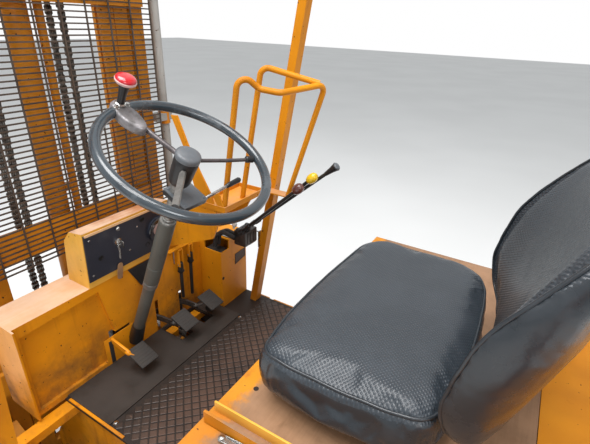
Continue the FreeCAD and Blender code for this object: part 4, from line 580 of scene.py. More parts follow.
FINISH_MAKERS = {
    "Body amber": lambda look, sizes: painted(
        look.body, look.body_aged, look.rust, 0.45, 0.55, 0.75, 0.15, 0.95, dirt_colour=look.dirt),
    "Cowl amber": lambda look, sizes: painted(
        look.body, look.body_aged, look.rust, 0.5, 0.6, 0.9, 0.60, 0.86,
        top=(look.faded, (0.60, 0.34, 0.18)), above=0.85, dirt_colour=look.dirt),
    "Console amber": lambda look, sizes: painted(
        look.body, look.body_aged, look.rust, 0.4, 0.5, 0.4, 0.4, 1.6,
        top=((0.60, 0.30, 0.125), look.body), dirt_colour=look.dirt),
    "Dash amber": lambda look, sizes: painted(
        look.pale, look.body, look.rust, 0.5, 0.35, 0.4, 0.4, 1.6,
        top=(look.faded, look.body_aged), dirt_colour=look.dirt),
    "Box amber": lambda look, sizes: painted(
        look.body, look.body_aged, look.rust, 0.5, 0.30, 0.55, 0.52, 0.70, dirt_colour=look.dirt),
    "Mast amber": lambda look, sizes: painted(
        look.mast, look.mast_aged, look.rust, 0.6, 0.40, 0.30, -0.5, 2.6, dirt_colour=look.dirt),
    "Pale yellow": lambda look, sizes: painted(
        look.pale, look.body, look.rust, 0.3, 0.45, 0.4, 0.4, 1.4, dirt_colour=look.dirt),
    "Hood finish": lambda look, sizes: painted(
        look.body, look.body_aged, look.rust, 0.35, 0.6, 0.35, 0.4, 1.8,
        top=(look.board, look.board_dark), edge=(-0.588, -0.560), dirt_colour=look.dirt),
    "Column grey": lambda look, sizes: painted(
        (0.100, 0.103, 0.092), (0.056, 0.055, 0.048), look.rust, 0.35, 0.7, 0.45, 0.5, 1.5),
    "Pole grey": lambda look, sizes: painted(
        (0.42, 0.42, 0.40), (0.22, 0.21, 0.19), look.rust, 0.5, 0.6, 0.4, 0.0, 3.0),
    "Battery grey": lambda look, sizes: painted(
        (0.10, 0.11, 0.12), (0.05, 0.05, 0.05), look.rust, 0.4, 0.6, 0.5, 0.3, 1.2),
    "Dash navy": lambda look, sizes: moulded((0.018, 0.021, 0.033), (0.040, 0.042, 0.052), 0.5, 240.0),
    "Rubber mat": lambda look, sizes: worn_plate((0.036, 0.028, 0.023), (0.022, 0.018, 0.015),
                                                 (0.058, 0.046, 0.038)),
    "Floor plate": lambda look, sizes: worn_plate((0.098, 0.054, 0.036), (0.030, 0.022, 0.018),
                                                  (0.19, 0.125, 0.090), (-0.230, -0.085)),
    "Rim gloss": lambda look, sizes: moulded(look.grip, (0.080, 0.095, 0.108), 0.24, 180.0, 0.6, 0.05),
    "Spoke grey": lambda look, sizes: metal((0.135, 0.120, 0.125), (0.075, 0.066, 0.068), (0.34, 0.5),
                                            0.5),
    "Hub grey": lambda look, sizes: moulded((0.100, 0.112, 0.125), (0.150, 0.160, 0.170), 0.38, 200.0,
                                            0.1, 0.05),
    "Column pale": lambda look, sizes: metal((0.27, 0.265, 0.25), (0.17, 0.165, 0.155), (0.36, 0.52),
                                             0.5),
    "Ring grey": lambda look, sizes: metal((0.20, 0.20, 0.195), (0.11, 0.108, 0.10), (0.4, 0.55), 0.4),
    "Hole shade black": lambda look, sizes: moulded((0.0015, 0.0015, 0.0018), (0.004, 0.004, 0.005), 0.7, 90.0),
    "Pedal rubber": lambda look, sizes: moulded((0.030, 0.026, 0.023), (0.050, 0.043, 0.037), 0.7,
                                                120.0, depth=0.3),
    "Floor groove": lambda look, sizes: worn_plate((0.020, 0.012, 0.008), (0.010, 0.008, 0.007),
                                                   (0.040, 0.027, 0.020)),
    "Dial black": lambda look, sizes: moulded((0.012, 0.012, 0.014), (0.030, 0.030, 0.034), 0.18, 90.0,
                                              0.5, 0.03),
    "Faded edge highlight": lambda look, sizes: painted(
        look.faded, look.pale, look.rust, 0.5, 0.5, 0.3, 0.0, 2.0),
    "Valve grey": lambda look, sizes: metal((0.062, 0.056, 0.054), (0.030, 0.026, 0.024), (0.4, 0.6),
                                            0.4),
    "Rust stain and hole shade": lambda look, sizes: moulded((0.022, 0.010, 0.006), (0.07, 0.03, 0.015), 0.8, 90.0),
    "Blank plate": lambda look, sizes: painted(
        (0.030, 0.022, 0.020), (0.13, 0.060, 0.020), look.rust, 0.8, 0.8, 0.5, -1.0, 2.0),
    "Black plastic": lambda look, sizes: moulded((0.011, 0.011, 0.012), (0.035, 0.035, 0.036), 0.35),
    "Grey casting": lambda look, sizes: metal((0.27, 0.26, 0.27), (0.12, 0.115, 0.115), (0.4, 0.6),
                                              0.45),
    "Cap red": lambda look, sizes: moulded(look.cap, (0.55, 0.08, 0.08), 0.16, 120.0, 0.5, 0.03),
    "Cap rim": lambda look, sizes: moulded((0.62, 0.42, 0.40), (0.5, 0.25, 0.25), 0.3, 120.0, 0.3),
    "Dark steel": lambda look, sizes: metal((0.085, 0.080, 0.076), (0.030, 0.026, 0.022), (0.42, 0.7),
                                            0.6),
    "Bright steel": lambda look, sizes: metal((0.62, 0.62, 0.61), (0.34, 0.33, 0.31), (0.18, 0.36),
                                              1.0, dirt=0.25),
    "Chain steel": lambda look, sizes: metal((0.20, 0.185, 0.165), (0.040, 0.033, 0.026), (0.35, 0.6),
                                             0.8, 90.0),
    "Mesh wire": lambda look, sizes: metal((0.105, 0.078, 0.060), (0.050, 0.034, 0.025), (0.5, 0.75),
                                           0.4, 25.0),
    "Cast iron": lambda look, sizes: metal((0.080, 0.070, 0.062), (0.034, 0.028, 0.024), (0.55, 0.85),
                                           0.5, 18.0),
    "Tyre rubber": lambda look, sizes: moulded((0.018, 0.018, 0.018), (0.070, 0.064, 0.058), 0.72,
                                               150.0, depth=0.3),
    "Wheel amber": lambda look, sizes: painted(
        look.body, look.body_aged, look.rust, 0.7, 0.9, 0.9, 0.0, 0.75, dirt_colour=look.dirt),
    "Seat weave": lambda look, sizes: vinyl_finish(look.vinyl, (0, 0, 0), sizes.weave),
    "Back weave": lambda look, sizes: vinyl_finish(look.vinyl, (0, math.radians(90), 0), sizes.weave),
    "Seat vinyl": lambda look, sizes: vinyl_finish(tuple(c * 0.62 for c in look.vinyl), rough=(0.26, 0.42)),
    "Knob brown": lambda look, sizes: moulded((0.095, 0.030, 0.024), (0.16, 0.08, 0.07), 0.25, 150.0,
                                              0.4, 0.04),
    "Knob yellow": lambda look, sizes: moulded((0.78, 0.50, 0.010), (0.60, 0.38, 0.05), 0.22, 150.0,
                                               0.4, 0.04),
    "Dial face": lambda look, sizes: moulded((0.38, 0.27, 0.25), (0.30, 0.24, 0.22), 0.3, 150.0, 0.3,
                                             0.03),
    "Lamp white": lambda look, sizes: moulded((0.75, 0.75, 0.72), (0.55, 0.54, 0.50), 0.2, 150.0, 0.4,
                                              0.03),
    "Brown tag": lambda look, sizes: moulded((0.30, 0.17, 0.08), (0.20, 0.11, 0.06), 0.6, 90.0),
}
FINISHES = {}


def finish(name):
    """One of the truck's finishes, made on its first use from the colours in the panel."""
    if name not in FINISHES:
        scene = bpy.context.scene
        FINISHES[name] = FINISH_MAKERS[name](scene.forklift_finish, scene.forklift_sizes)
        FINISHES[name].name = name
    return FINISHES[name]


# Finish of each carried-over slot, and of the nodes that differ from their slot
SLOT_FINISH = {
    "body_orange": "Body amber", "mast_orange": "Mast amber", "bright_yellow": "Pale yellow",
    "floor_brown": "Floor plate", "mat_black": "Rubber mat", "dash_black": "Dash navy",
    "column_grey": "Column grey", "grip_black": "Rim gloss", "cap_red": "Cap red", "steel_dark": "Dark steel",
    "steel_bright": "Bright steel", "chain_steel": "Chain steel", "vinyl": "Seat vinyl", "tyre": "Tyre rubber",
    "rim_orange": "Wheel amber", "cast_dark": "Cast iron", "pole_grey": "Pole grey",
    "battery_grey": "Battery grey",
}
NODE_FINISH = {
    "hood": "Hood finish", "front_cowl": "Cowl amber", "mesh_guard": "Mesh wire", "floor_plate": "Floor groove",
    "hoop_guard": "Body amber", "side_box": "Box amber", "lever_console": "Console amber", "dash_box": "Dash amber",
}


# Stage
def build_world(strength):
    world = bpy.data.worlds.new("Studio")
    world.use_nodes = True
    tree = world.node_tree
    tree.nodes.clear()
    output = tree.nodes.new("ShaderNodeOutputWorld")
    skies = []
    for tone, power in (((0.95, 0.98, 1.0, 1), strength), ((1, 1, 1, 1), 1.0)):
        sky = tree.nodes.new("ShaderNodeBackground")
        sky.inputs["Color"].default_value = tone
        sky.inputs["Strength"].default_value = power
        skies.append(sky)
    # What the camera sees behind the truck is plain white; the soft light comes from the first sky
    path = tree.nodes.new("ShaderNodeLightPath")
    wire = Wiring(tree)
    seen = wire.math("MAXIMUM", path.outputs["Is Camera Ray"], path.outputs["Is Transmission Ray"])
    seen = wire.math("MAXIMUM", seen, wire.math("MULTIPLY", path.outputs["Is Glossy Ray"], 0.6))
    blend = tree.nodes.new("ShaderNodeMixShader")
    tree.links.new(seen, blend.inputs[0])
    for sky, socket in zip(skies, (1, 2)):
        tree.links.new(sky.outputs[0], blend.inputs[socket])
    tree.links.new(blend.outputs[0], output.inputs["Surface"])
    bpy.context.scene.world = world


def build_floor():
    material, tree, shader = new_material(Roughness=0.9)
    material.name = "Studio floor"
    wire = Wiring(tree)
    tone = wire.ramp(wire.noise(0.6, 2.0), 0.3, 0.7, 0.86, 0.90)
    tree.links.new(wire.mix(tone, (0, 0, 0, 1), (1.0, 1.0, 0.99, 1)), shader.inputs["Base Color"])
    bm = bmesh.new()
    bmesh.ops.create_grid(bm, x_segments=6, y_segments=6, size=30.0)
    floor = new_object("studio_floor", bm, material)


def build_lamp(name, place, aim, size, power, tone=(1, 1, 1)):
    lamp = bpy.data.lights.new(name, "AREA")
    lamp.shape, lamp.size, lamp.energy, lamp.color = "DISK", size, power, tone
    obj = bpy.data.objects.new(name, lamp)
    obj.location = place
    obj.rotation_euler = (Vector(aim) - Vector(place)).to_track_quat("-Z", "Y").to_euler()
    bpy.context.scene.collection.objects.link(obj)


def build_camera(view):
    """Camera from its heading, dip and roll, as in the photograph."""
    heading = Vector((math.sin(view.yaw), -math.cos(view.yaw), 0))
    ahead = heading * math.cos(view.pitch) - Vector((0, 0, math.sin(view.pitch)))
    up = heading * math.sin(view.pitch) + Vector((0, 0, math.cos(view.pitch)))
    right = ahead.cross(up)
    across = right * math.cos(view.roll) + up * math.sin(view.roll)
    upright = up * math.cos(view.roll) - right * math.sin(view.roll)
    lens = bpy.data.cameras.new("Camera")
    lens.sensor_width, lens.lens, lens.clip_start = 36.0, view.lens, 0.02
    camera = bpy.data.objects.new("Camera", lens)
    turn = Matrix((across, upright, -ahead)).transposed().to_4x4()
    camera.matrix_world = Matrix.Translation(Vector(view.place)) @ turn
    bpy.context.scene.collection.objects.link(camera)
    bpy.context.scene.camera = camera


class FORKLIFT_OT_stage(bpy.types.Operator):
    """Set up the floor, the soft light, the white background and the camera"""
    bl_idname = "forklift.stage"
    bl_label = "Stage and camera"

    def execute(self, context):
        view = context.scene.forklift_view
        context.scene.view_settings.view_transform = "Standard"
        build_world(view.sky)
        build_floor()
        build_lamp("Overhead lamp", (-0.4, 0.9, 4.6), (-0.3, 0.0, 0.9), 3.2, view.lamp)
        build_lamp("Rear lamp", (-3.2, 2.2, 2.6), (-0.4, 0.0, 1.0), 1.6, view.lamp * 0.22, (0.94, 0.97, 1.0))
        build_camera(view)
        return {"FINISHED"}


class FORKLIFT_OT_paint(bpy.types.Operator):
    """Give each carried-over node its finish"""
    bl_idname = "forklift.paint"
    bl_label = "Paint the frame"

    def execute(self, context):
        slots = {part["node"]: part["material_slot"] for part in frame["record"]["subparts"]}
        for node, obj in frame["nodes"].items():
            material = finish(NODE_FINISH.get(node, SLOT_FINISH[slots[node]]))
            if not obj.material_slots:
                obj.data.materials.append(material)
            for slot in obj.material_slots:
                slot.material = material
        return {"FINISHED"}


# Seat, in mm: the cushion from above, and the backrest's surfaces as (height, X) rows
CUSHION_PLAN = ((-577, 61), (-579, -60), (-588, -180), (-606, -232), (-645, -262), (-720, -268), (-800, -262),
                (-868, -236), (-904, -180), (-915, -60), (-915, 80), (-905, 180), (-878, 234), (-800, 249),
                (-700, 252), (-640, 250), (-606, 240), (-590, 208), (-580, 140))
WING_EDGE = ((1092, -908), (1120, -900), (1160, -894), (1190, -893), (1210, -896), (1247, -903), (1289, -912),
             (1326, -926), (1363, -947), (1394, -967), (1430, -992), (1460, -1016), (1500, -1052))
INNER_BACK = ((1092, -935), (1150, -948), (1250, -972), (1350, -996), (1430, -1018), (1500, -1050))
OUTER_BACK = ((1092, -985), (1184, -1012), (1243, -1030), (1291, -1044), (1400, -1066), (1470, -1078), (1500, -1078))


def smooth_loop(points, count):
    """Closed smooth curve through flat points, in evenly spaced steps; mm in, metres out."""
    points = [Vector((x, y, 0)) / 1000 for x, y in points]
    size = len(points)
    fine = []
    for i in range(size):
        a, b, c, d = (points[(i + k) % size] for k in (-1, 0, 1, 2))
        for j in range(24):
            t = j / 24
            fine.append(0.5 * ((2 * b) + (c - a) * t + (2 * a - 5 * b + 4 * c - d) * t * t
                               + (3 * b - a - 3 * c + d) * t ** 3))
    lengths = [0.0]
    for here, ahead in zip(fine, fine[1:] + fine[:1]):
        lengths.append(lengths[-1] + (ahead - here).length)
    result, k = [], 0
    for i in range(count):
        want = lengths[-1] * i / count
        while lengths[k + 1] < want:
            k += 1
        share = (want - lengths[k]) / (lengths[k + 1] - lengths[k])
        result.append(fine[k].lerp(fine[(k + 1) % len(fine)], share))
    return result


def reading(rows, value):
    """Straight-line reading between (input, output) rows in mm; metres in and out."""
    value *= 1000
    if value <= rows[0][0]:
        return rows[0][1] / 1000
    for (x0, y0), (x1, y1) in zip(rows, rows[1:]):
        if value <= x1:
            return (y0 + (y1 - y0) * (value - x0) / (x1 - x0)) / 1000
    return rows[-1][1] / 1000


def loft_rings(bm, rings, close_first=False, close_last=False):
    """Skin a list of rings of points with quads."""
    made = [[bm.verts.new(p) for p in ring] for ring in rings]
    for here, ahead in zip(made, made[1:]):
        count = len(here)
        for j in range(count):
            k = (j + 1) % count
            bm.faces.new((here[j], here[k], ahead[k], ahead[j]))
    for close, ring in ((close_first, made[0]), (close_last, made[-1])):
        if close:
            centre = bm.verts.new(sum((v.co for v in ring), Vector()) / len(ring))
            for j in range(len(ring)):
                bm.faces.new((ring[j], ring[(j + 1) % len(ring)], centre))


def crease(point, strength):
    """Wrinkles of slack vinyl: folds across the side band and at the front left corner."""
    corner = max(0.0, 1 - (Vector((point.x + 0.605, point.y - 0.235, 0)).length / 0.080))
    folds = noise.noise(Vector((point.x * 26 + point.z * 12, point.y * 26, point.z * 9)))
    fine = noise.noise(Vector((point.x * 90, point.y * 90, point.z * 30 + 7)))
    return strength * (0.0020 * folds + 0.0006 * fine + corner * 0.0040 * fine)


def taken_mesh(obj):
    """The object's mesh with its modifiers applied, as a new bmesh."""
    shaped = obj.evaluated_get(bpy.context.evaluated_depsgraph_get())
    bm = bmesh.new()
    bm.from_mesh(shaped.to_mesh())
    shaped.to_mesh_clear()
    return bm


def drop_object(obj):
    mesh = obj.data
    bpy.data.objects.remove(obj)
    bpy.data.meshes.remove(mesh)


PAD_VOXEL = 0.006
CLOTH_FRAMES = 20


def stuffed(bm, held, reach, pressure=4.0):
    """Blow a closed form up by reach at most, like a stuffed cover; held(point) is true where it stays put."""
    obj = new_object("pad_work", bm)
    even = obj.modifiers.new("Even", "REMESH")
    even.mode, even.voxel_size = "VOXEL", PAD_VOXEL
    bm = taken_mesh(obj)
    drop_object(obj)
    obj = new_object("pad_work", bm)
    points = [vert.co.copy() for vert in obj.data.vertices]
    pins = obj.vertex_groups.new(name="held")
    pins.add([i for i, p in enumerate(points) if held(p)], 1.0, "REPLACE")
    cloth = obj.modifiers.new("Stuffing", "CLOTH")
    cloth.settings.quality = 5
    cloth.settings.mass = 0.25
    cloth.settings.tension_stiffness = cloth.settings.compression_stiffness = 18
    cloth.settings.bending_stiffness = 0.4
    cloth.settings.use_pressure = True
    cloth.settings.uniform_pressure_force = pressure
    cloth.settings.vertex_group_mass = "held"
    cloth.settings.effector_weights.gravity = 0
    cloth.collision_settings.use_collision = False
    cloth.point_cache.frame_start, cloth.point_cache.frame_end = 1, CLOTH_FRAMES
    for frame_number in range(1, CLOTH_FRAMES + 1):
        bpy.context.scene.frame_set(frame_number)
    swollen = taken_mesh(obj)
    moved = [vert.co.copy() for vert in swollen.verts]
    swollen.free()
    obj.modifiers.remove(cloth)
    bpy.context.scene.frame_set(1)
    for vert, start, end in zip(obj.data.vertices, points, moved):
        step = end - start
        if held(start):
            step *= 0
        elif step.length > reach:
            step *= reach / step.length
        vert.co = start + step
    return obj


def finished_pad(obj, seam, groove, name, covering, replaced):
    """Sink the seam, round the pad once more and give it the covering's two materials; returns its surface."""
    tree = KDTree(len(seam))
    for i, point in enumerate(seam):
        tree.insert(point, i)
    tree.balance()
    for vert in obj.data.vertices:
        near = tree.find(vert.co)[2]
        pull = groove * math.exp(-(near / 0.0075) ** 2)
        slack = 0.85 if vert.normal.z < 0.4 and vert.co.z < 1.15 else 0.30
        vert.co += vert.normal * (crease(vert.co, slack) - pull)
    obj.modifiers.new("Round", "SUBSURF").levels = 1
    bm = taken_mesh(obj)
    drop_object(obj)
    bm.normal_update()
    surface = BVHTree.FromBMesh(bm)
    pad = make_piece(name, bm, "hood", finish("Seat vinyl"), 60, replaced)
    pad.data.materials.append(finish(covering[0]))
    for face in pad.data.polygons:
        face.material_index = 1 if covering[1](face.center, face.normal) else 0
    return surface


def lay_welt(surface, seam, radius, name):
    """Welt along a seam, on the finished pad."""
    nearest = [surface.find_nearest(point) for point in seam]
    laid = [place + normal * radius * 0.35 for place, normal, _, _ in nearest]
    count = len(laid)
    even = [sum((laid[(i + k) % count] for k in (-2, -1, 0, 1, 2)), Vector()) / 5 for i in range(count)]
    bm = bmesh.new()
    add_tube(bm, even, radius, 8, closed=True)
    make_piece(name, bm, "hood", finish("Seat vinyl"), 60)


def by_direction(points, values):
    """Function that gives the value of the point nearest to a direction, looked up in half-degree steps."""
    turns = [math.atan2(y, x) for x, y in points]
    table = []
    for step in range(720):
        turn = math.radians(step / 2)
        table.append(values[min(range(len(turns)), key=lambda k: abs(math.remainder(turns[k] - turn, 2 * math.pi)))])
    return lambda x, y: table[round(math.degrees(math.atan2(y, x)) * 2) % 720]


def build_cushion(sizes):
    """Seat cushion with a woven top, a welt and smooth sides."""
    plan = smooth_loop(CUSHION_PLAN, 260)
    centre = Vector((-0.748, -0.006, 0))

    def ring(inset, z):
        points = []
        for p in plan:
            q = p - (p - centre).normalized() * inset
            side = min(1.0, abs(q.y + 0.006) / 0.255)
            points.append(Vector((q.x, q.y, z - (0.006 * (1 - side ** 2) if z > 1.12 else 0))))
        return points

    bm = bmesh.new()
    loft_rings(bm, [ring(inset, z) for inset, z in (
        (0.018, 1.0545), (0.004, 1.0560), (-0.006, 1.0620), (-0.0100, 1.0740), (-0.0115, 1.0930), (-0.0115, 1.1100),
        (-0.0100, 1.1220), (-0.0040, 1.1320), (0.0080, 1.1385), (0.0500, 1.1405), (0.1300, 1.1405))], True, True)
    obj = stuffed(bm, lambda p: p.z < 1.0575, 0.0115)
    edge = ring(0.0010, 1.1350)
    seam = [p + Vector((0, 0, 0.0015)) for p in edge]
    inner = [(p.x - centre.x, p.y - centre.y) for p in edge]
    reach = by_direction(inner, [math.hypot(x, y) for x, y in inner])

    def on_top(place, normal):
        x, y = place.x - centre.x, place.y - centre.y
        return normal.z > 0.25 and math.hypot(x, y) < reach(x, y)

    surface = finished_pad(obj, seam, 0.0030, "seat_cushion_pad", ("Seat weave", on_top), ("seat_cushion",))
    lay_welt(surface, seam, sizes.seam, "seat_cushion_welt")


def build_backrest(sizes):
    """Wrap-round backrest: woven inner face, welt, and a smooth outer shell."""
    outline = smooth_loop(((0, 1497), (90, 1497), (158, 1484), (206, 1448), (232, 1390), (243, 1310), (246, 1220),
                           (243, 1150), (228, 1112), (180, 1096), (80, 1092), (-80, 1092), (-180, 1096),
                           (-228, 1112), (-243, 1150), (-246, 1220), (-243, 1310), (-232, 1390), (-206, 1448),
                           (-158, 1484), (-90, 1497)), 280)
    centre = Vector((0, 1.290, 0))

    def front_x(y, z):
        wing, inner = reading(WING_EDGE, z), reading(INNER_BACK, z)
        return inner + (wing - inner) * min(1.0, abs(y) / 0.240) ** 3.2

    def rear_x(y, z):
        return reading(OUTER_BACK, z) + 0.060 * min(1.0, abs(y) / 0.246) ** 3.0

    def ring(share, surface, shift=0.0):
        points = []
        for p in outline:
            q = centre + (p - centre) * share
            points.append(Vector((surface(q.x, q.y) + shift, q.x - 0.006, q.y)))
        return points

    def between(share):
        return lambda y, z: (1 - share) * front_x(y, z) + share * rear_x(y, z)

    shares = [0.94 - 0.06 * k for k in range(15)]
    bm = bmesh.new()
    rings = [ring(s, front_x, 0.001) for s in shares[::-1]]
    rings += [ring(0.972, front_x, 0.008), ring(0.990, front_x, 0.006), ring(0.998, between(0.12)),
              ring(1.000, between(0.35)), ring(0.996, between(0.65)), ring(0.982, between(0.85)),
              ring(0.955, rear_x, 0.006)]
    rings += [ring(s, rear_x, 0.004) for s in shares[1:]]
    loft_rings(bm, rings, True, True)
    obj = stuffed(bm, lambda p: False, 0.0085, 3.0)
    seam = ring(0.990, front_x, 0.002)

    reach = by_direction([(p.x, p.y - centre.y) for p in outline], [(p - centre).length for p in outline])

    def on_front(place, normal):
        y, z = place.y + 0.006, place.z
        return (place.x > 0.5 * (front_x(y, z) + rear_x(y, z)) and normal.x > 0.1
                and math.hypot(y, z - centre.y) < 0.986 * reach(y, z - centre.y))

    surface = finished_pad(obj, seam, 0.0022, "seat_back_pad", ("Back weave", on_front), ("seat_back",))
    lay_welt(surface, seam, sizes.seam, "seat_back_welt")


class FORKLIFT_OT_seat(bpy.types.Operator):
    """Build the seat's cushion and wrap-round backrest with their seams"""
    bl_idname = "forklift.seat"
    bl_label = "Seat"

    def execute(self, context):
        sizes = context.scene.forklift_sizes
        build_cushion(sizes)
        build_backrest(sizes)
        return {"FINISHED"}


# Steering wheel; its own frame has Z along the axis and metres from the rim's centre
SPOKE_ANGLES = (8, 128, 248)
RIM_RADIUS = 0.190


def on_wheel(angle, radius, height=0.0):
    """Point in the steering wheel's own frame."""
    angle = math.radians(angle)
    return Vector((radius * math.cos(angle), radius * math.sin(angle), height))


def flat_bar(bm, start, end, width, thick, face, bevel=0.0015):
    """Flat bar with rounded ends between two points; face is the way that its flat side looks."""
    start, end = Vector(start), Vector(end)
    along = (end - start).normalized()
    side = Vector(face).cross(along).normalized()
    place = Matrix.Translation(start) @ Matrix((along, side, along.cross(side))).transposed().to_4x4()
    length = (end - start).length
    outline = [(length + math.sin(a) * width / 2, math.cos(a) * width / 2) for a in
               (math.pi * j / 10 for j in range(11))]
    outline += [(-math.sin(a) * width / 2, -math.cos(a) * width / 2) for a in (math.pi * j / 10 for j in range(11))]
    middle = Vector((length / 2, 0, 0))
    rings = []
    for inset, height in ((bevel, -thick / 2), (0, bevel - thick / 2), (0, thick / 2 - bevel), (bevel, thick / 2)):
        rings.append([place @ (Vector((x, y, height)) + (middle - Vector((x, y, 0))).normalized() * inset)
                      for x, y in outline])
    loft_rings(bm, rings, close_first=True, close_last=True)


def build_steering_wheel():
    """Rim, two round spokes and a flat one with their fittings, hub and cap."""
    place = WHEEL_PLACE
    bm = bmesh.new()
    add_ring(bm, [(RIM_RADIUS + 0.0118 * math.cos(a), 0.0122 * math.sin(a)) for a in around(28)], place, 192,
             closed=True)
    make_piece("steering_rim", bm, "steering_wheel", finish("Rim gloss"), 40, ("steering_wheel",))

    bm = bmesh.new()
    for angle, wide in ((SPOKE_ANGLES[0], 0.0062), (SPOKE_ANGLES[2], 0.0046)):
        start, end = place @ on_wheel(angle, 0.020, -0.010), place @ on_wheel(angle, RIM_RADIUS - 0.002, -0.003)
        add_tube(bm, [start, start.lerp(end, 0.5) + WHEEL_AXIS * -0.002, end], wide, 14)
    make_piece("steering_spokes", bm, "steering_wheel", finish("Spoke grey"), 40)
    bm = bmesh.new()
    for angle, start, end, radius in ((SPOKE_ANGLES[2], (0.156, -0.004), (0.180, -0.0035), 0.0085),
                                      (SPOKE_ANGLES[1], (0.166, -0.006), (0.182, -0.004), 0.0095)):
        add_rod(bm, place @ on_wheel(angle, *start), place @ on_wheel(angle, *end), radius, 16, 0.003)
    make_piece("steering_rim_fittings", bm, "steering_wheel", finish("Black plastic"), 40)

    bm = bmesh.new()
    start, end = place @ on_wheel(SPOKE_ANGLES[1], 0.029, -0.024), place @ on_wheel(SPOKE_ANGLES[1], 0.178, -0.006)
    face = place.to_3x3() @ on_wheel(SPOKE_ANGLES[1] - 30, 0.8, 0.55)
    flat_bar(bm, start, end, 0.0150, 0.0055, face)
    add_rod(bm, start - face * 0.003, start + face * 0.0055, 0.0046, 16, 0.001)
    make_piece("steering_flat_spoke", bm, "steering_wheel", finish("Column pale"), 40)

    bm = bmesh.new()
    add_ring(bm, [(0.0003, 0.0125), (0.014, 0.0122), (0.023, 0.0112), (0.0278, 0.0092), (0.0296, 0.0060),
                  (0.0300, 0.0010), (0.0296, -0.0030), (0.0280, -0.0035)], place, 64)
    make_piece("steering_hub_cap", bm, "steering_wheel", finish("Hub grey"), 40)
    bm = bmesh.new()
    add_ring(bm, [(0.0282, -0.0030), (0.0292, -0.0045), (0.0290, -0.0180), (0.0276, -0.0460), (0.0262, -0.0660),
                  (0.0240, -0.0735), (0.0210, -0.0747)], place, 64)
    make_piece("steering_hub", bm, "steering_wheel", finish("Black plastic"), 40)


def build_spinner():
    """Mushroom-topped spinner on its cast clamp over the rim and a spoke."""
    knob = WHEEL_PLACE @ Matrix.Translation(on_wheel(11.5, RIM_RADIUS))
    turn = knob @ Matrix.Rotation(math.radians(6.5), 4, "Z")
    bm = bmesh.new()
    rings = []
    for height, grow in ((-0.0070, -0.004), (-0.0045, 0.0), (0.0095, 0.0), (0.0130, -0.0015), (0.0155, -0.006),
                         (0.0168, -0.013)):
        ring = []
        for angle in around(64):
            out = Vector((math.cos(angle), math.sin(angle), 0))
            narrow = max(0.0, -out.x)
            radius = 0.0205 + grow + narrow ** 2.1 * 0.060
            width = 1 - 0.52 * narrow ** 1.4
            drop = 0.0085 * narrow + (0.0015 * math.sin(angle * 3) if grow <= -0.0015 else 0)
            ring.append(Vector((out.x * radius, out.y * radius * width, height - drop)))
        rings.append(ring)
    loft_rings(bm, rings, close_first=True, close_last=True)
    bmesh.ops.transform(bm, matrix=turn, verts=bm.verts)
    make_piece("spinner_clamp", bm, "steering_wheel", finish("Grey casting"), 40, ("spinner_knob",))
    bm = bmesh.new()
    for along, across in ((-0.006, -0.0150), (-0.004, 0.0150)):
        add_hex(bm, turn @ Vector((along, across, 0.0120)), WHEEL_AXIS, 0.0085, 0.0075)
    add_ring(bm, [(0.0125, 0.0145), (0.0125, 0.0185), (0.0105, 0.0200), (0.0090, 0.0205)], knob, 32)
    make_piece("spinner_screws", bm, "steering_wheel", finish("Bright steel"), 40)
    bm = bmesh.new()
    add_ring(bm, [(0.0085, 0.0195), (0.0086, 0.0320), (0.0094, 0.0460), (0.0110, 0.0590), (0.0132, 0.0680),
                  (0.0120, 0.0710)], knob, 40)
    make_piece("spinner_stem", bm, "steering_wheel", finish("Black plastic"), 40)
    bm = bmesh.new()
    add_ring(bm, [(0.0130, 0.0682), (0.0205, 0.0700), (0.0232, 0.0732), (0.0236, 0.0766), (0.0222, 0.0782)], knob, 48)
    make_piece("spinner_cap_rim", bm, "steering_wheel", finish("Cap rim"), 40)
    bm = bmesh.new()
    add_ring(bm, [(0.0222, 0.0772), (0.0226, 0.0798), (0.0206, 0.0832), (0.0160, 0.0860), (0.0100, 0.0875),
                  (0.0004, 0.0880)], knob, 48)
    make_piece("spinner_cap", bm, "steering_wheel", finish("Cap red"), 40)


COLUMN_TOP, COLUMN_FOOT = mm(-170, 30, 1178), mm(105, -14, 635)
BULKHEAD_FACE = 0.1046  # X just behind the bulkhead, where the boot ends


def on_column(along, radius=0.0, angle=0.0):
    """Point on the steering column, measured down its axis from its upper end."""
    axis = (COLUMN_FOOT - COLUMN_TOP).normalized()
    side = axis.cross(Vector((0, -1, 0))).normalized()
    return COLUMN_TOP + axis * along + (side * math.cos(angle) + axis.cross(side) * math.sin(angle)) * radius


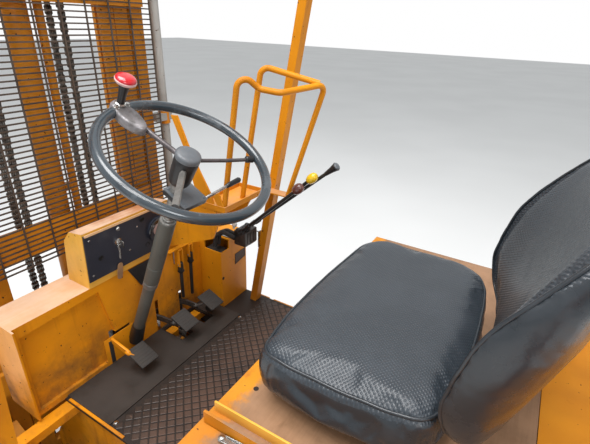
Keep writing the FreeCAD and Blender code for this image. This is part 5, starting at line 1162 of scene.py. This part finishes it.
def build_column():
    """Column with its sleeve, ring, boot, switch box and stalk."""
    place = WHEEL_PLACE
    bm = bmesh.new()
    for start, end, radius, bevel in ((0, 0.186, 0.0215, 0.002), (0.1872, 0.262, 0.0218, 0.0012),
                                      (0.183, 0.190, 0.0203, 0.001), (0.255, 0.540, 0.0182, 0.002)):
        add_rod(bm, on_column(start), on_column(end), radius, 48, bevel)
    make_piece("column_tubes", bm, "chassis", finish("Column grey"), 40, ("steering_column",))
    bm = bmesh.new()
    add_rod(bm, on_column(0.2640), on_column(0.2860), 0.0214, 48, 0.0020)
    make_piece("column_ring", bm, "chassis", finish("Ring grey"), 40)
    bm = bmesh.new()
    add_rod(bm, place @ Vector((0, 0, -0.0745)), place @ Vector((0, 0, -0.0910)), 0.0168, 32, 0.0015)
    neck = rounded_route([place @ Vector((0.004, 0, -0.084)), on_column(-0.040), on_column(0.012)], 0.03)
    add_tube(bm, neck, 0.0125, 20)
    for along, radius in ((0.0008, 0.0200), (-0.0060, 0.0150)):
        add_rod(bm, on_column(along - 0.005), on_column(along), radius, 40, 0.001)
    make_piece("column_neck", bm, "chassis", finish("Column pale"), 40)
    bm = bmesh.new()
    rings = []
    for j in range(13):
        share = j / 12
        radius = 0.0192 + 0.0048 * share + (0.0014 if j % 2 else 0.0)
        rings.append([on_column(0.512 + 0.094 * share, radius, angle) for angle in around(48)])
    for ring in rings:
        for point in ring:
            point.x = min(point.x, BULKHEAD_FACE)
    loft_rings(bm, rings)
    make_piece("column_boot", bm, "chassis", finish("Black plastic"), 50)
    bm = bmesh.new()
    add_box(bm, (-0.0555, -0.0575, -0.1215), (0.0195, 0.0195, -0.1085), 0.003, place)
    make_piece("switch_box", bm, "chassis", finish("Black plastic"), 40)
    bm = bmesh.new()
    add_box(bm, (-0.0560, -0.0580, -0.1090), (0.0200, 0.0200, -0.1050), 0.0016, place)
    for x, y in ((-0.048, -0.050), (-0.048, 0.012), (0.012, -0.050), (0.012, 0.012)):
        add_ring(bm, [(0.0030, -0.1052), (0.0030, -0.1040), (0.0022, -0.1034)],
                 place @ Matrix.Translation((x, y, 0)), 12)
    make_piece("switch_box_lid", bm, "chassis", finish("Hub grey"), 40)
    bm = bmesh.new()
    add_tube(bm, [mm(-240, -10, 1234), mm(-246, -18, 1236), mm(-253, -60, 1244), mm(-260, -102, 1252)], 0.0040, 14)
    make_piece("switch_stalk", bm, "chassis", finish("Bright steel"), 40, ("direction_switch",))
    bm = bmesh.new()
    base, along = mm(-258.5, -93, 1250.5), mm(-6.5, -39, 6.5).normalized()
    for low, high, radius, tip in ((0.0, 0.010, 0.0052, 0.0064), (0.0095, 0.044, 0.0066, 0.0072),
                                   (0.0435, 0.049, 0.0072, 0.0050)):
        add_rod(bm, base + along * low, base + along * high, radius, 24, 0.0008, tip)
    make_piece("switch_grip", bm, "chassis", finish("Black plastic"), 40)


class FORKLIFT_OT_steering(bpy.types.Operator):
    """Build the steering wheel with its spokes, hub and spinner knob, and its column"""
    bl_idname = "forklift.steering"
    bl_label = "Steering wheel"

    def execute(self, context):
        build_steering_wheel()
        build_spinner()
        build_column()
        return {"FINISHED"}


# Cab fittings
DASH_FACING = (-1, 0, -0.16)
DASH_HOLES = ((85.6, -92, 1064), (95.2, -108, 966), (92.1, 62, 997))


def build_dash_fittings():
    """Dial, key with its chain and tag, warning lamp, screws and holes of the instrument panel; the holes are black
    discs of painted shade.
    """
    face = mm(88, -153, 1008)
    back = turned_to(DASH_FACING, face)
    bm = bmesh.new()
    add_ring(bm, [(0.0415, -0.004), (0.0420, 0.004), (0.0400, 0.0062), (0.0360, 0.0062), (0.0345, 0.0030),
                  (0.0300, 0.0030), (0.0290, 0.0042), (0.0265, 0.0042), (0.0255, 0.0020)], back, 64)
    make_piece("dial_rings", bm, "chassis", finish("Dial black"), 30)
    bm = bmesh.new()
    add_ring(bm, [(0.0252, 0.0022), (0.0250, 0.0050), (0.0225, 0.0066), (0.0120, 0.0078), (0.0003, 0.0082)], back, 48)
    make_piece("dial_face", bm, "chassis", finish("Dial face"), 30)
    bm = bmesh.new()
    # Black rims round black discs: the discs fill the open holes with painted shade
    for x, y, z in DASH_HOLES:
        add_ring(bm, [(0.0082, -0.001), (0.0082, 0.0006), (0.0070, 0.0009), (0.0060, -0.0006)],
                 turned_to(DASH_FACING, mm(x, y, z)), 28)
    make_piece("dash_grommets_hole_shade", bm, "chassis", finish("Hole shade black"), 30)
    bm = bmesh.new()
    lamp = turned_to(DASH_FACING, mm(87.0, -3, 1068))
    rings = [[lamp @ Vector((0.0068 * grow * math.cos(a), 0.0068 * grow * math.sin(a), height))
              for a in (math.pi / 2 + 2 * math.pi * j / 3 + turn for j in range(3) for turn in (-0.35, 0, 0.35))]
             for grow, height in ((1.0, 0.0), (1.0, 0.003), (0.86, 0.0046))]
    loft_rings(bm, rings, close_last=True)
    make_piece("warning_lamp", bm, "chassis", finish("Column pale"), 30)
    bm = bmesh.new()
    for x, y, z in ((86.5, -70, 1048), (94.5, -39, 977), (85.5, 92, 1068), (97, 92, 950)):
        add_ring(bm, [(0.0034, -0.0005), (0.0034, 0.0010), (0.0024, 0.0018)], turned_to(DASH_FACING, mm(x, y, z)), 16)
    key = turned_to(DASH_FACING, mm(91, 1, 1026))
    add_ring(bm, [(0.0115, -0.001), (0.0115, 0.0030), (0.0095, 0.0042), (0.0060, 0.0042)], key, 32)
    add_box(bm, (-0.0105, -0.0012, 0.004), (0.0105, 0.0012, 0.026), 0.0006, key)
    links = [mm(86, 4, 1014), mm(84, 4, 1000), mm(85, 4, 985), mm(87, 4, 972)]
    for j in range(11):
        share = j / 10 * 3
        i = min(2, int(share))
        at = links[i].lerp(links[i + 1], share - i)
        place = turned_to((1, 0, 0) if j % 2 else (0, 1, 0), at, (0, 0, 1))
        add_ring(bm, [(0.0028 + 0.0007 * math.cos(a), 0.0007 * math.sin(a)) for a in around(8)], place, 14,
                 closed=True)
    make_piece("dash_key", bm, "chassis", finish("Bright steel"), 30)
    bm = bmesh.new()
    flat_bar(bm, mm(93, 4, 943), mm(95, 9, 906), 0.019, 0.0016, (-1, 0, -0.1), 0.0004)
    make_piece("key_tag", bm, "chassis", finish("Brown tag"), 30)
    bm = bmesh.new()
    # Pale strips along the panel's top and bottom edges: faded paint with a painted highlight
    for x, z, width in ((88.2, 1083.0, 0.0070), (101.0, 935.0, 0.0042)):
        flat_bar(bm, mm(x, -196, z), mm(x, 100, z), width, 0.0022, (-1, 0, 0), 0.0006)
    make_piece("dash_edge_highlights", bm, "chassis", finish("Faded edge highlight"), 30)


def build_cowl_fittings():
    """Clevises and rods that run down to the pedals, their rail, and the dark bracket under the dash."""
    bm = bmesh.new()
    outline = ((-26, 906), (-125, 906), (-118, 862), (-88, 829), (-67, 828))
    rings = [[mm(x, y, z) for y, z in outline] for x in (104.8, 101.5)]
    loft_rings(bm, rings, close_first=True, close_last=True)
    make_piece("dash_bracket", bm, "chassis", finish("Black plastic"), 30)
    bm = bmesh.new()
    flat_bar(bm, mm(93, -186, 899), mm(93, -322, 896), 0.0125, 0.008, (-0.7, 0, 0.7))
    for y, top, low in ((-234, 893, 822), (-285, 893, 841)):
        add_box(bm, mm(82, y - 10, low), mm(99, y - 6.5, top), 0.0012)
        add_box(bm, mm(82, y + 6.5, low), mm(99, y + 10, top), 0.0012)
        add_box(bm, mm(84, y - 9, top - 6), mm(99, y + 9, top - 1), 0.0012)
    make_piece("cowl_clevises", bm, "chassis", finish("Body amber"), 40)
    bm = bmesh.new()
    add_rod(bm, mm(92, -208, 897), mm(92, -207, 842), 0.0022, 12)
    for y, low in ((-234, 826), (-285, 845)):
        add_rod(bm, mm(90.5, y - 12.5, low + 4), mm(90.5, y + 12.5, low + 4), 0.0032, 14)
    make_piece("cowl_pins", bm, "chassis", finish("Bright steel"), 40)
    bm = bmesh.new()
    for y, low, end in ((-234, 828, (86, -229, 690)), (-285, 846, (86, -276, 680))):
        add_rod(bm, mm(90.5, y, low + 10), mm(90.5, y, low - 26), 0.0100, 20, 0.002)
        add_rod(bm, mm(90.5, y, low - 24), mm(*end), 0.0062, 14)
        add_hex(bm, mm(90.5, y, low - 26), (0, 0, -1), 0.016, 0.008)
    make_piece("cowl_rods", bm, "chassis", finish("Black plastic"), 40)


# Middle of each pad (inching, brake, drive) and the way of each arm, in mm
PEDALS = ((5, 38, 656), (1, -149, 672), (1, -283, 678))
PEDAL_ARMS = {"inching": ((103, 70, 690), (36, 66, 670), (9, 46, 649)),
              "brake": ((150, -120, 650), (74, -120, 663), (29, -120, 666), (5, -149, 665)),
              "drive": ((150, -232, 650), (74, -232, 669), (29, -232, 672), (5, -283, 671))}


def add_pedal_arm(bm, points):
    """Flat arm along a route; it stands on edge where it runs along the truck and lies flat across it."""
    route = [mm(*point) for point in points]
    for start, end in zip(route, route[1:]):
        flat_bar(bm, start, end, 0.021, 0.008, (0.25, 1, 0.0) if abs(end.y - start.y) < 0.005 else (0.5, 0, 1))


def build_pedals():
    """Three flat pedals on their arms, with the rollers and the bracket under them."""
    places = [Matrix.Translation(mm(x, y, z)) @ Matrix.Rotation(math.radians(-24), 4, "Y")
              for x, y, z in PEDALS]
    bm = bmesh.new()
    for place in places:
        add_box(bm, (-0.039, -0.033, -0.0020), (0.039, 0.033, 0.0050), 0.0028, place, 3)
        for k in range(7):
            along = -0.0324 + 0.0108 * k
            add_box(bm, (along - 0.0030, -0.0300, 0.0045), (along + 0.0030, 0.0300, 0.0056), 0.0005, place, 1)
    make_piece("pedal_pads", bm, "chassis", finish("Pedal rubber"), 35, ("pedals",))
    bm = bmesh.new()
    for place in places:
        add_box(bm, (-0.036, -0.030, -0.0050), (0.036, 0.030, -0.0018), 0.0010, place)
    add_rod(bm, mm(150, -338, 646), mm(150, 322, 646), 0.0088, 24, 0.001)
    for y in (-232, -120, 62):
        add_rod(bm, mm(150, y - 14, 646), mm(150, y + 14, 646), 0.0150, 24, 0.0015)
    for name in ("brake", "drive"):
        add_pedal_arm(bm, PEDAL_ARMS[name])
    make_piece("pedal_plates", bm, "chassis", finish("Dark steel"), 35)
    bm = bmesh.new()
    add_pedal_arm(bm, PEDAL_ARMS["inching"])
    make_piece("inching_arm", bm, "chassis", finish("Body amber"), 35)
    bm = bmesh.new()
    add_box(bm, mm(103.2, -46, 604.4), mm(104.9, 98, 706), 0.0006)
    make_piece("foot_plate", bm, "chassis", finish("Body amber"), 35)
    bm = bmesh.new()
    for x, y in ((14, -160), (17, -296)):
        add_rod(bm, mm(x, y - 15, 630), mm(x, y + 15, 630), 0.0145, 28, 0.003)
    add_box(bm, mm(102.4, 70, 606), mm(104.0, 84, 692), 0.0003)
    make_piece("pedal_stops", bm, "chassis", finish("Tyre rubber"), 35)
    bm = bmesh.new()
    add_box(bm, mm(-10, -140, 622), mm(8, -137, 655), 0.0010)
    add_box(bm, mm(-16, -140, 652), mm(4, -118, 655.5), 0.0010)
    add_box(bm, mm(-6, -141, 604.5), mm(26, -136, 640), 0.0010)
    make_piece("pedal_bracket", bm, "chassis", finish("Bright steel"), 35)


def add_turned(bm, profile, start, end, steps=32):
    """Turned shape from (radius, share of the way) rows between two points."""
    start, end = Vector(start), Vector(end)
    length = (end - start).length
    add_ring(bm, [(r / 1000, share * length) for r, share in profile],
             turned_to(end - start, start, clear_of(end - start)), steps)


LEVERS = ((mm(-86, -372, 957), mm(-315, -370, 1172)), (mm(-86, -396, 957), mm(-350, -395, 1208)),
          (mm(-86, -410, 957), mm(-410, -411, 1245)))
# Name, lever, reach before and past the lever's end, finish and profile of each knob
KNOBS = (
    ("lever_knob_lift", LEVERS[0], -0.024, 0.018, "Knob brown",
     ((7.0, 0.0), (11.0, 0.05), (15.0, 0.22), (16.6, 0.45), (15.8, 0.68), (12.0, 0.87), (7.0, 0.965), (0.4, 1.0))),
    ("lever_knob_tilt", LEVERS[1], -0.026, 0.016, "Knob yellow",
     ((6.0, 0.0), (11.5, 0.10), (14.8, 0.32), (15.4, 0.58), (12.8, 0.82), (7.5, 0.95), (0.4, 1.0))),
    ("lever_grip_third", LEVERS[2], -0.040, 0.012, "Black plastic",
     ((5.0, 0.0), (6.5, 0.10), (9.0, 0.55), (12.5, 0.90), (13.6, 0.97), (12.0, 1.0))),
    ("lever_tip_third", LEVERS[2], 0.0118, 0.017, "Hub grey",
     ((12.0, 0.0), (11.5, 0.4), (7.0, 0.9), (0.4, 1.0))),
)


def build_levers():
    """Hydraulic levers with their knobs, boots and valve block."""
    bm = bmesh.new()
    for start, end in LEVERS:
        add_rod(bm, start.lerp(end, 0.02), start.lerp(end, 0.95), 0.0056, 18, 0.001)
        add_rod(bm, start.lerp(end, 0.10), start.lerp(end, 0.16), 0.0085, 18, 0.0015)
    make_piece("lever_rods", bm, "chassis", finish("Black plastic"), 40, ("hydraulic_levers",))
    for name, (start, end), low, high, coat, profile in KNOBS:
        along = (end - start).normalized()
        bm = bmesh.new()
        add_turned(bm, profile, end + along * low, end + along * high)
        make_piece(name, bm, "chassis", finish(coat), 50)
    bm = bmesh.new()
    add_box(bm, mm(-98, -448, 891), mm(-46, -376, 948), 0.004)
    for y in (-430, -412, -394):
        add_box(bm, mm(-100.5, y - 6, 900), mm(-96, y + 6, 940), 0.0015)
    make_piece("valve_casting", bm, "chassis", finish("Valve grey"), 40, ("valve_block",))
    bm = bmesh.new()
    for start, end in LEVERS:
        along = (end - start).normalized()
        for k in range(4):
            add_rod(bm, start + along * (0.004 * k - 0.010), start + along * (0.004 * k - 0.0065),
                    0.0135 - 0.0016 * k, 24, 0.0008)
    for x, y in ((-60, -384), (-60, -436)):
        add_hex(bm, mm(x, y, 948), (0, 0, 1), 0.014, 0.008)
    make_piece("lever_boots", bm, "chassis", finish("Black plastic"), 40)
    bm = bmesh.new()
    add_box(bm, mm(-92, -450, 885.3), mm(44, -407, 889.5), 0.001)
    add_box(bm, mm(-104, -466, 862), mm(-100.5, -449, 928), 0.001)
    add_box(bm, mm(-103, -452, 926), mm(-84, -449, 929.5), 0.001)
    make_piece("valve_strap", bm, "chassis", finish("Bright steel"), 40)
    bm = bmesh.new()
    add_turned(bm, [(4.0, 0.0), (4.0, 0.3), (8.5, 0.42), (10.0, 0.70), (7.0, 0.93), (0.4, 1.0)], mm(-40, -384, 950),
               mm(-46, -384, 976))
    make_piece("valve_knob", bm, "chassis", finish("Lamp white"), 50)
    bm = bmesh.new()
    for y in (-365, -385):
        route = rounded_route([mm(-60, y, 925), mm(-10, y + 3, 935), mm(26, y + 6, 915), mm(34, y + 4, 866)], 0.022)
        add_tube(bm, route, 0.0085, 16)
    make_piece("valve_hoses", bm, "chassis", finish("Tyre rubber"), 40)


def build_box_fittings():
    """Blank plate, pocket lining and holes of the side box; the holes are rust-stained discs of painted shade."""
    bm = bmesh.new()
    frame_ring = [mm(-1.9, y, z) for y, z in ((-433, 760), (-435, 806), (-498, 808), (-498, 771))]
    middle = sum(frame_ring, Vector()) / 4
    inner = [middle + (p - middle) * 0.86 for p in frame_ring]
    rings = [[Vector((0.0002, p.y, p.z)) for p in frame_ring], frame_ring, inner,
             [Vector((-0.0010, p.y, p.z)) for p in inner]]
    loft_rings(bm, rings, close_last=True)
    make_piece("blank_plate", bm, "chassis", finish("Blank plate"), 20)
    bm = bmesh.new()
    add_box(bm, mm(2.5, -398, 806), mm(78, -356, 848), 0.004)
    make_piece("box_pocket", bm, "chassis", finish("Rubber mat"), 40)
    bm = bmesh.new()
    # Dark rusty discs fill the holes: rust stain with painted shade
    for y, z in ((-360, 733), (-498, 868)):
        add_ring(bm, [(0.0062, 0.0), (0.0062, 0.0010), (0.0050, 0.0014), (0.0040, 0.0004)],
                 turned_to((-1, 0, 0), mm(0, y, z)), 20)
    make_piece("box_holes", bm, "chassis", finish("Rust stain and hole shade"), 40)


def build_hood_fittings():
    """Angle bar, toggle latch and holes on the hood; the holes are rust-stained discs of painted shade."""
    bm = bmesh.new()
    add_box(bm, mm(-708, 302, 1015.2), mm(-550, 330, 1019), 0.0012)
    add_box(bm, mm(-708, 300.5, 1015.2), mm(-550, 304.5, 1041), 0.0012)
    make_piece("hood_angle", bm, "hood", finish("Pale yellow"), 40)
    bm = bmesh.new()
    flat_bar(bm, mm(-594, 340, 1018.4), mm(-624, 336, 1018.4), 0.010, 0.003, (0, 0, 1))
    add_tube(bm, rounded_route([mm(-600, 334, 1021), mm(-640, 332, 1023), mm(-640, 344, 1023), mm(-600, 346, 1021)],
                               0.004), 0.0016, 10)
    add_hex(bm, mm(-596, 340, 1018.5), (0, 0, 1), 0.009, 0.005)
    make_piece("hood_latch", bm, "hood", finish("Bright steel"), 40)
    bm = bmesh.new()
    # Dark rusty discs fill the holes: rust stain with painted shade
    for x, y, r in ((-580, 223, 0.0052), (-620, 296, 0.0036), (-566, 470, 0.0045), (-566, -470, 0.0045)):
        add_ring(bm, [(r, 0.0), (r, 0.0004), (r * 0.8, 0.0006), (r * 0.6, 0.0002)],
                 Matrix.Translation(mm(x, y, 1015)), 20)
    make_piece("hood_hole_shades", bm, "hood", finish("Rust stain and hole shade"), 40)


def build_floor_fittings():
    """Screws with washers in the floor and the rubbed strip along its left edge."""
    bm = bmesh.new()
    for x, y in ((-92, 225), (-92, -338), (-300, 236), (-300, -480), (-500, 236)):
        add_hex(bm, mm(x, y, 600), (0, 0, 1), 0.010, 0.004)
    make_piece("floor_screws", bm, "chassis", finish("Bright steel"), 40)
    bm = bmesh.new()
    add_box(bm, mm(-150, 241, 600.1), mm(88, 249.5, 604.5), 0.0012)
    make_piece("floor_strip", bm, "chassis", finish("Wheel amber"), 40)


class FORKLIFT_OT_cab(bpy.types.Operator):
    """Fit the dash, the cowl, the pedals, the levers, the side box, the hood and the floor with their small parts"""
    bl_idname = "forklift.cab"
    bl_label = "Cab fittings"

    def execute(self, context):
        build_dash_fittings()
        build_cowl_fittings()
        build_pedals()
        build_levers()
        build_box_fittings()
        build_hood_fittings()
        build_floor_fittings()
        return {"FINISHED"}


# Floor; the lozenge's corners are shares of half the pitch
LOZENGE = ((1, 0), (0.09, 0.91), (-0.09, 0.91), (-1, 0), (-0.09, -0.91), (0.09, -0.91))


def build_plate_diamonds(sizes):
    """Raised diamonds on the floor plate behind the mat, with narrow grooves between them."""
    low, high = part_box("floor_plate")
    mat_low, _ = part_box("floor_mat")
    top = high.z
    bm = bmesh.new()
    half = sizes.plate_pitch / 2
    row = 0
    x = low.x + half
    while x < mat_low.x - half:
        y = low.y + half * (2 if row % 2 else 1) + 0.004
        while y < high.y - half:
            outer, inner = (
                [bm.verts.new((x + half * share * a, y + half * share * b, top - 0.0002 + rise * sizes.plate_rise))
                 for a, b in LOZENGE] for share, rise in ((0.86, 0.0), (0.70, 1.0)))
            for j in range(6):
                k = (j + 1) % 6
                bm.faces.new((outer[j], outer[k], inner[k], inner[j]))
            bm.faces.new(inner)
            y += sizes.plate_pitch
        x += half
        row += 1
    make_piece("floor_lozenges", bm, "chassis", finish("Floor plate"), 20)


class FORKLIFT_OT_floor(bpy.types.Operator):
    """Raise the lozenges of the floor plate"""
    bl_idname = "forklift.floor"
    bl_label = "Floor plate"

    def execute(self, context):
        build_plate_diamonds(context.scene.forklift_sizes)
        return {"FINISHED"}


# Wheels
STEPS_PER_LUG = 12


def tread_depth(turn, across, lugs, depth):
    """Depth of the tread at a place: slanted grooves from each shoulder and a wavy middle groove."""
    side = 1 if across >= 0 else -1
    phase = (turn * lugs / (2 * math.pi) + (0.5 if side > 0 else 0.0) + abs(across) * 0.42) % 1.0
    groove = 1.0 if phase < 0.34 and abs(across) > 0.12 else 0.0
    wavy = abs(across - 0.10 * math.sin(turn * lugs)) < 0.07
    return depth * max(groove, 0.75 if wavy else 0.0)


def build_tyre(name, body, node, sizes):
    """Tyre of the frame's size, with its tread cut in."""
    low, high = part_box(node)
    centre = (low + high) / 2
    radius, half = (high.z - low.z) / 2, (high.y - low.y) / 2
    bead = radius * (0.565 if radius > 0.25 else 0.53)
    shoulder = 0.016
    side = [(bead, half * 0.80), (bead + 0.008, half * 0.92), (bead + 0.030, half * 0.985),
            ((bead + radius) / 2, half * 0.995), (radius - shoulder * 2.2, half * 0.99),
            (radius - shoulder, half * 0.95), (radius - shoulder * 0.35, half * 0.90)]
    tread = [(radius, half * 0.86 * (1 - 2 * j / 26)) for j in range(27)]
    profile = side + tread + [(r, -y) for r, y in side[::-1]]
    bm = bmesh.new()
    rings = []
    for turn in around(sizes.tread_lugs * STEPS_PER_LUG):
        ring = []
        for j, (r, y) in enumerate(profile):
            if len(side) - 2 <= j <= len(profile) - len(side) + 1:
                r -= tread_depth(turn, y / half, sizes.tread_lugs, sizes.tread_depth)
            ring.append(Vector((centre.x + r * math.cos(turn), centre.y + y, centre.z + r * math.sin(turn))))
        rings.append([bm.verts.new(p) for p in ring])
    skin_round(bm, rings, closed=True)
    make_piece(name, bm, body, finish("Tyre rubber"), 30, (node,))


def build_wheel_fittings(name, body, node, sign):
    """Hexagon nuts on the studs, a grease cap on the hub and a stem beside them."""
    low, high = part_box(node)
    centre = (low + high) / 2
    bm = bmesh.new()
    for i in range(6):
        turn = math.radians(60 * i)
        at = centre + Vector((0.068 * math.cos(turn), sign * 0.026, 0.068 * math.sin(turn)))
        add_hex(bm, at, (0, sign, 0), 0.024, 0.0125)
    add_rod(bm, centre + Vector((0, sign * 0.041, 0)), centre + Vector((0, sign * 0.052, 0)), 0.030, 40, 0.004)
    stem = centre + Vector((0.088, sign * 0.024, 0.020))
    add_rod(bm, stem, stem + Vector((0.004, sign * 0.026, 0)), 0.0032, 14, 0.0006)
    make_piece(name, bm, body, finish("Dark steel"), 35)


class FORKLIFT_OT_wheels(bpy.types.Operator):
    """Cut the tread of the tyres and fit the wheel nuts"""
    bl_idname = "forklift.wheels"
    bl_label = "Wheels"

    def execute(self, context):
        sizes = context.scene.forklift_sizes
        for end in ("front", "rear"):
            for side, sign in LEFT_AND_RIGHT:
                body, node = f"{end}_wheel_{side}", f"{end}_tyre_{side}"
                build_tyre(f"{end}_tread_{side}", body, node, sizes)
                build_wheel_fittings(f"{end}_wheel_nuts_{side}", body, node, sign)
        return {"FINISHED"}


# Mast; the chains stand at CHAIN_Y on both sides of the middle
CHAIN_Y = 0.115
CHAIN_PIN = 0.0024
STUD_X = 0.3455


def build_chain(name, x, low, high, node, sizes):
    """Pair of leaf chains between the heights low and high."""
    count = round((high - low) / sizes.chain_pitch)
    pitch = (high - low) / count
    bm = bmesh.new()
    for sign in (1, -1):
        for link in range(count):
            foot = low + link * pitch
            places = (-0.0085, -0.0028, 0.0028, 0.0085) if link % 2 else (-0.0057, 0.0, 0.0057)
            for across in places:
                y = sign * CHAIN_Y + across
                outline = [(x + a, foot + b) for a, b in (
                    (-0.0044, 0.0010), (-0.0024, -0.0036), (0.0024, -0.0036), (0.0044, 0.0010), (0.0034, pitch / 2),
                    (0.0044, pitch - 0.0010), (0.0024, pitch + 0.0036), (-0.0024, pitch + 0.0036),
                    (-0.0044, pitch - 0.0010), (-0.0034, pitch / 2))]
                outline = [(a, min(max(b, low), high)) for a, b in outline]
                loft_rings(bm, [[Vector((a, y + edge, b)) for a, b in outline] for edge in (-0.0012, 0.0012)],
                           close_first=True, close_last=True)
            if link:
                rims = [(x + CHAIN_PIN * math.cos(a), foot + CHAIN_PIN * math.sin(a)) for a in around(8)]
                loft_rings(bm, [[Vector((a, sign * CHAIN_Y + edge, b)) for a, b in rims]
                                for edge in (-0.0112, 0.0112)], close_first=True, close_last=True)
    bmesh.ops.recalc_face_normals(bm, faces=bm.faces)
    obj = new_object(name, bm, finish("Chain steel"))
    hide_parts(node)
    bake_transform(obj)


def build_mast_fittings():
    """Collar of the pole, studs of the chain anchors, and the carriage's bolts, fork pins and notches."""
    bm = bmesh.new()
    add_ring(bm, [(0.0162, 1.2760), (0.0205, 1.2770), (0.0210, 1.3300), (0.0162, 1.3310)],
             Matrix.Translation(mm(317, -433, 0)), 40)
    make_piece("pole_collar", bm, "mast_outer", finish("Body amber"), 35)
    bm = bmesh.new()
    for sign in (1, -1):
        for y in (sign * CHAIN_Y - 0.006, sign * CHAIN_Y + 0.006):
            add_rod(bm, (STUD_X, y, 0.5850), (STUD_X, y, 0.6230), 0.0038, 14)
            add_hex(bm, (STUD_X, y, 0.6058), (0, 0, -1), 0.0105, 0.008)
    make_piece("anchor_studs", bm, "mast_outer", finish("Dark steel"), 35)
    bm = bmesh.new()
    front, _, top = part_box("carriage")[1]
    for sign in (1, -1):
        for z in (0.565, 0.213):
            add_hex(bm, (front, sign * 0.335, z), (1, 0, 0), 0.022, 0.011)
        add_rod(bm, (front - 0.014, sign * 0.210, 0.6215), (front - 0.014, sign * 0.210, 0.6420), 0.0085, 24, 0.002)
    for k in range(9):
        y = -0.32 + 0.08 * k
        add_box(bm, (front - 0.020, y - 0.004, top - 0.0004), (front - 0.002, y + 0.004, top + 0.0016), 0.0006)
    make_piece("carriage_fittings", bm, "carriage", finish("Dark steel"), 35)


class FORKLIFT_OT_mast(bpy.types.Operator):
    """Hang the leaf chains of the mast and fit its small parts"""
    bl_idname = "forklift.mast"
    bl_label = "Mast chains and fittings"

    def execute(self, context):
        sizes = context.scene.forklift_sizes
        for name, node, bodies in (("anchor_leaf_chains", "anchor_chains", ("mast_outer", "mast_inner")),
                                   ("lift_leaf_chains", "lift_chains", ("mast_inner", "carriage"))):
            low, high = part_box(node)
            build_chain(name, (low[0] + high[0]) / 2, low[2], high[2], node, sizes)
        build_mast_fittings()
        return {"FINISHED"}


# Panel and running
STEPS = (FORKLIFT_OT_stage, FORKLIFT_OT_paint, FORKLIFT_OT_seat, FORKLIFT_OT_steering, FORKLIFT_OT_cab,
         FORKLIFT_OT_floor, FORKLIFT_OT_wheels, FORKLIFT_OT_mast)


class FORKLIFT_PT_panel(bpy.types.Panel):
    """Settings and building steps of the forklift truck"""
    bl_idname = "FORKLIFT_PT_panel"
    bl_label = "Forklift Truck"
    bl_space_type = "VIEW_3D"
    bl_region_type = "UI"
    bl_category = "Forklift"

    def draw(self, context):
        for title, settings in (("Finishes", context.scene.forklift_finish), ("Sizes", context.scene.forklift_sizes),
                                ("View", context.scene.forklift_view)):
            box = self.layout.box()
            box.label(text=title)
            for name in settings.__annotations__:
                box.prop(settings, name)
        column = self.layout.column(align=True)
        for step in STEPS:
            column.operator(step.bl_idname)


GROUP_SETTINGS = (("forklift_finish", ForkliftFinish), ("forklift_sizes", ForkliftSizes),
                  ("forklift_view", ForkliftView))


def register():
    for name, group in GROUP_SETTINGS:
        bpy.utils.register_class(group)
        setattr(bpy.types.Scene, name, PointerProperty(type=group))
    for step in STEPS:
        bpy.utils.register_class(step)
    bpy.utils.register_class(FORKLIFT_PT_panel)


def unregister():
    bpy.utils.unregister_class(FORKLIFT_PT_panel)
    for step in reversed(STEPS):
        bpy.utils.unregister_class(step)
    for name, group in reversed(GROUP_SETTINGS):
        delattr(bpy.types.Scene, name)
        bpy.utils.unregister_class(group)


def main():
    register()
    for step in STEPS:
        family, name = step.bl_idname.split(".")
        getattr(getattr(bpy.ops, family), name)()


if __name__ == "__main__":
    main()
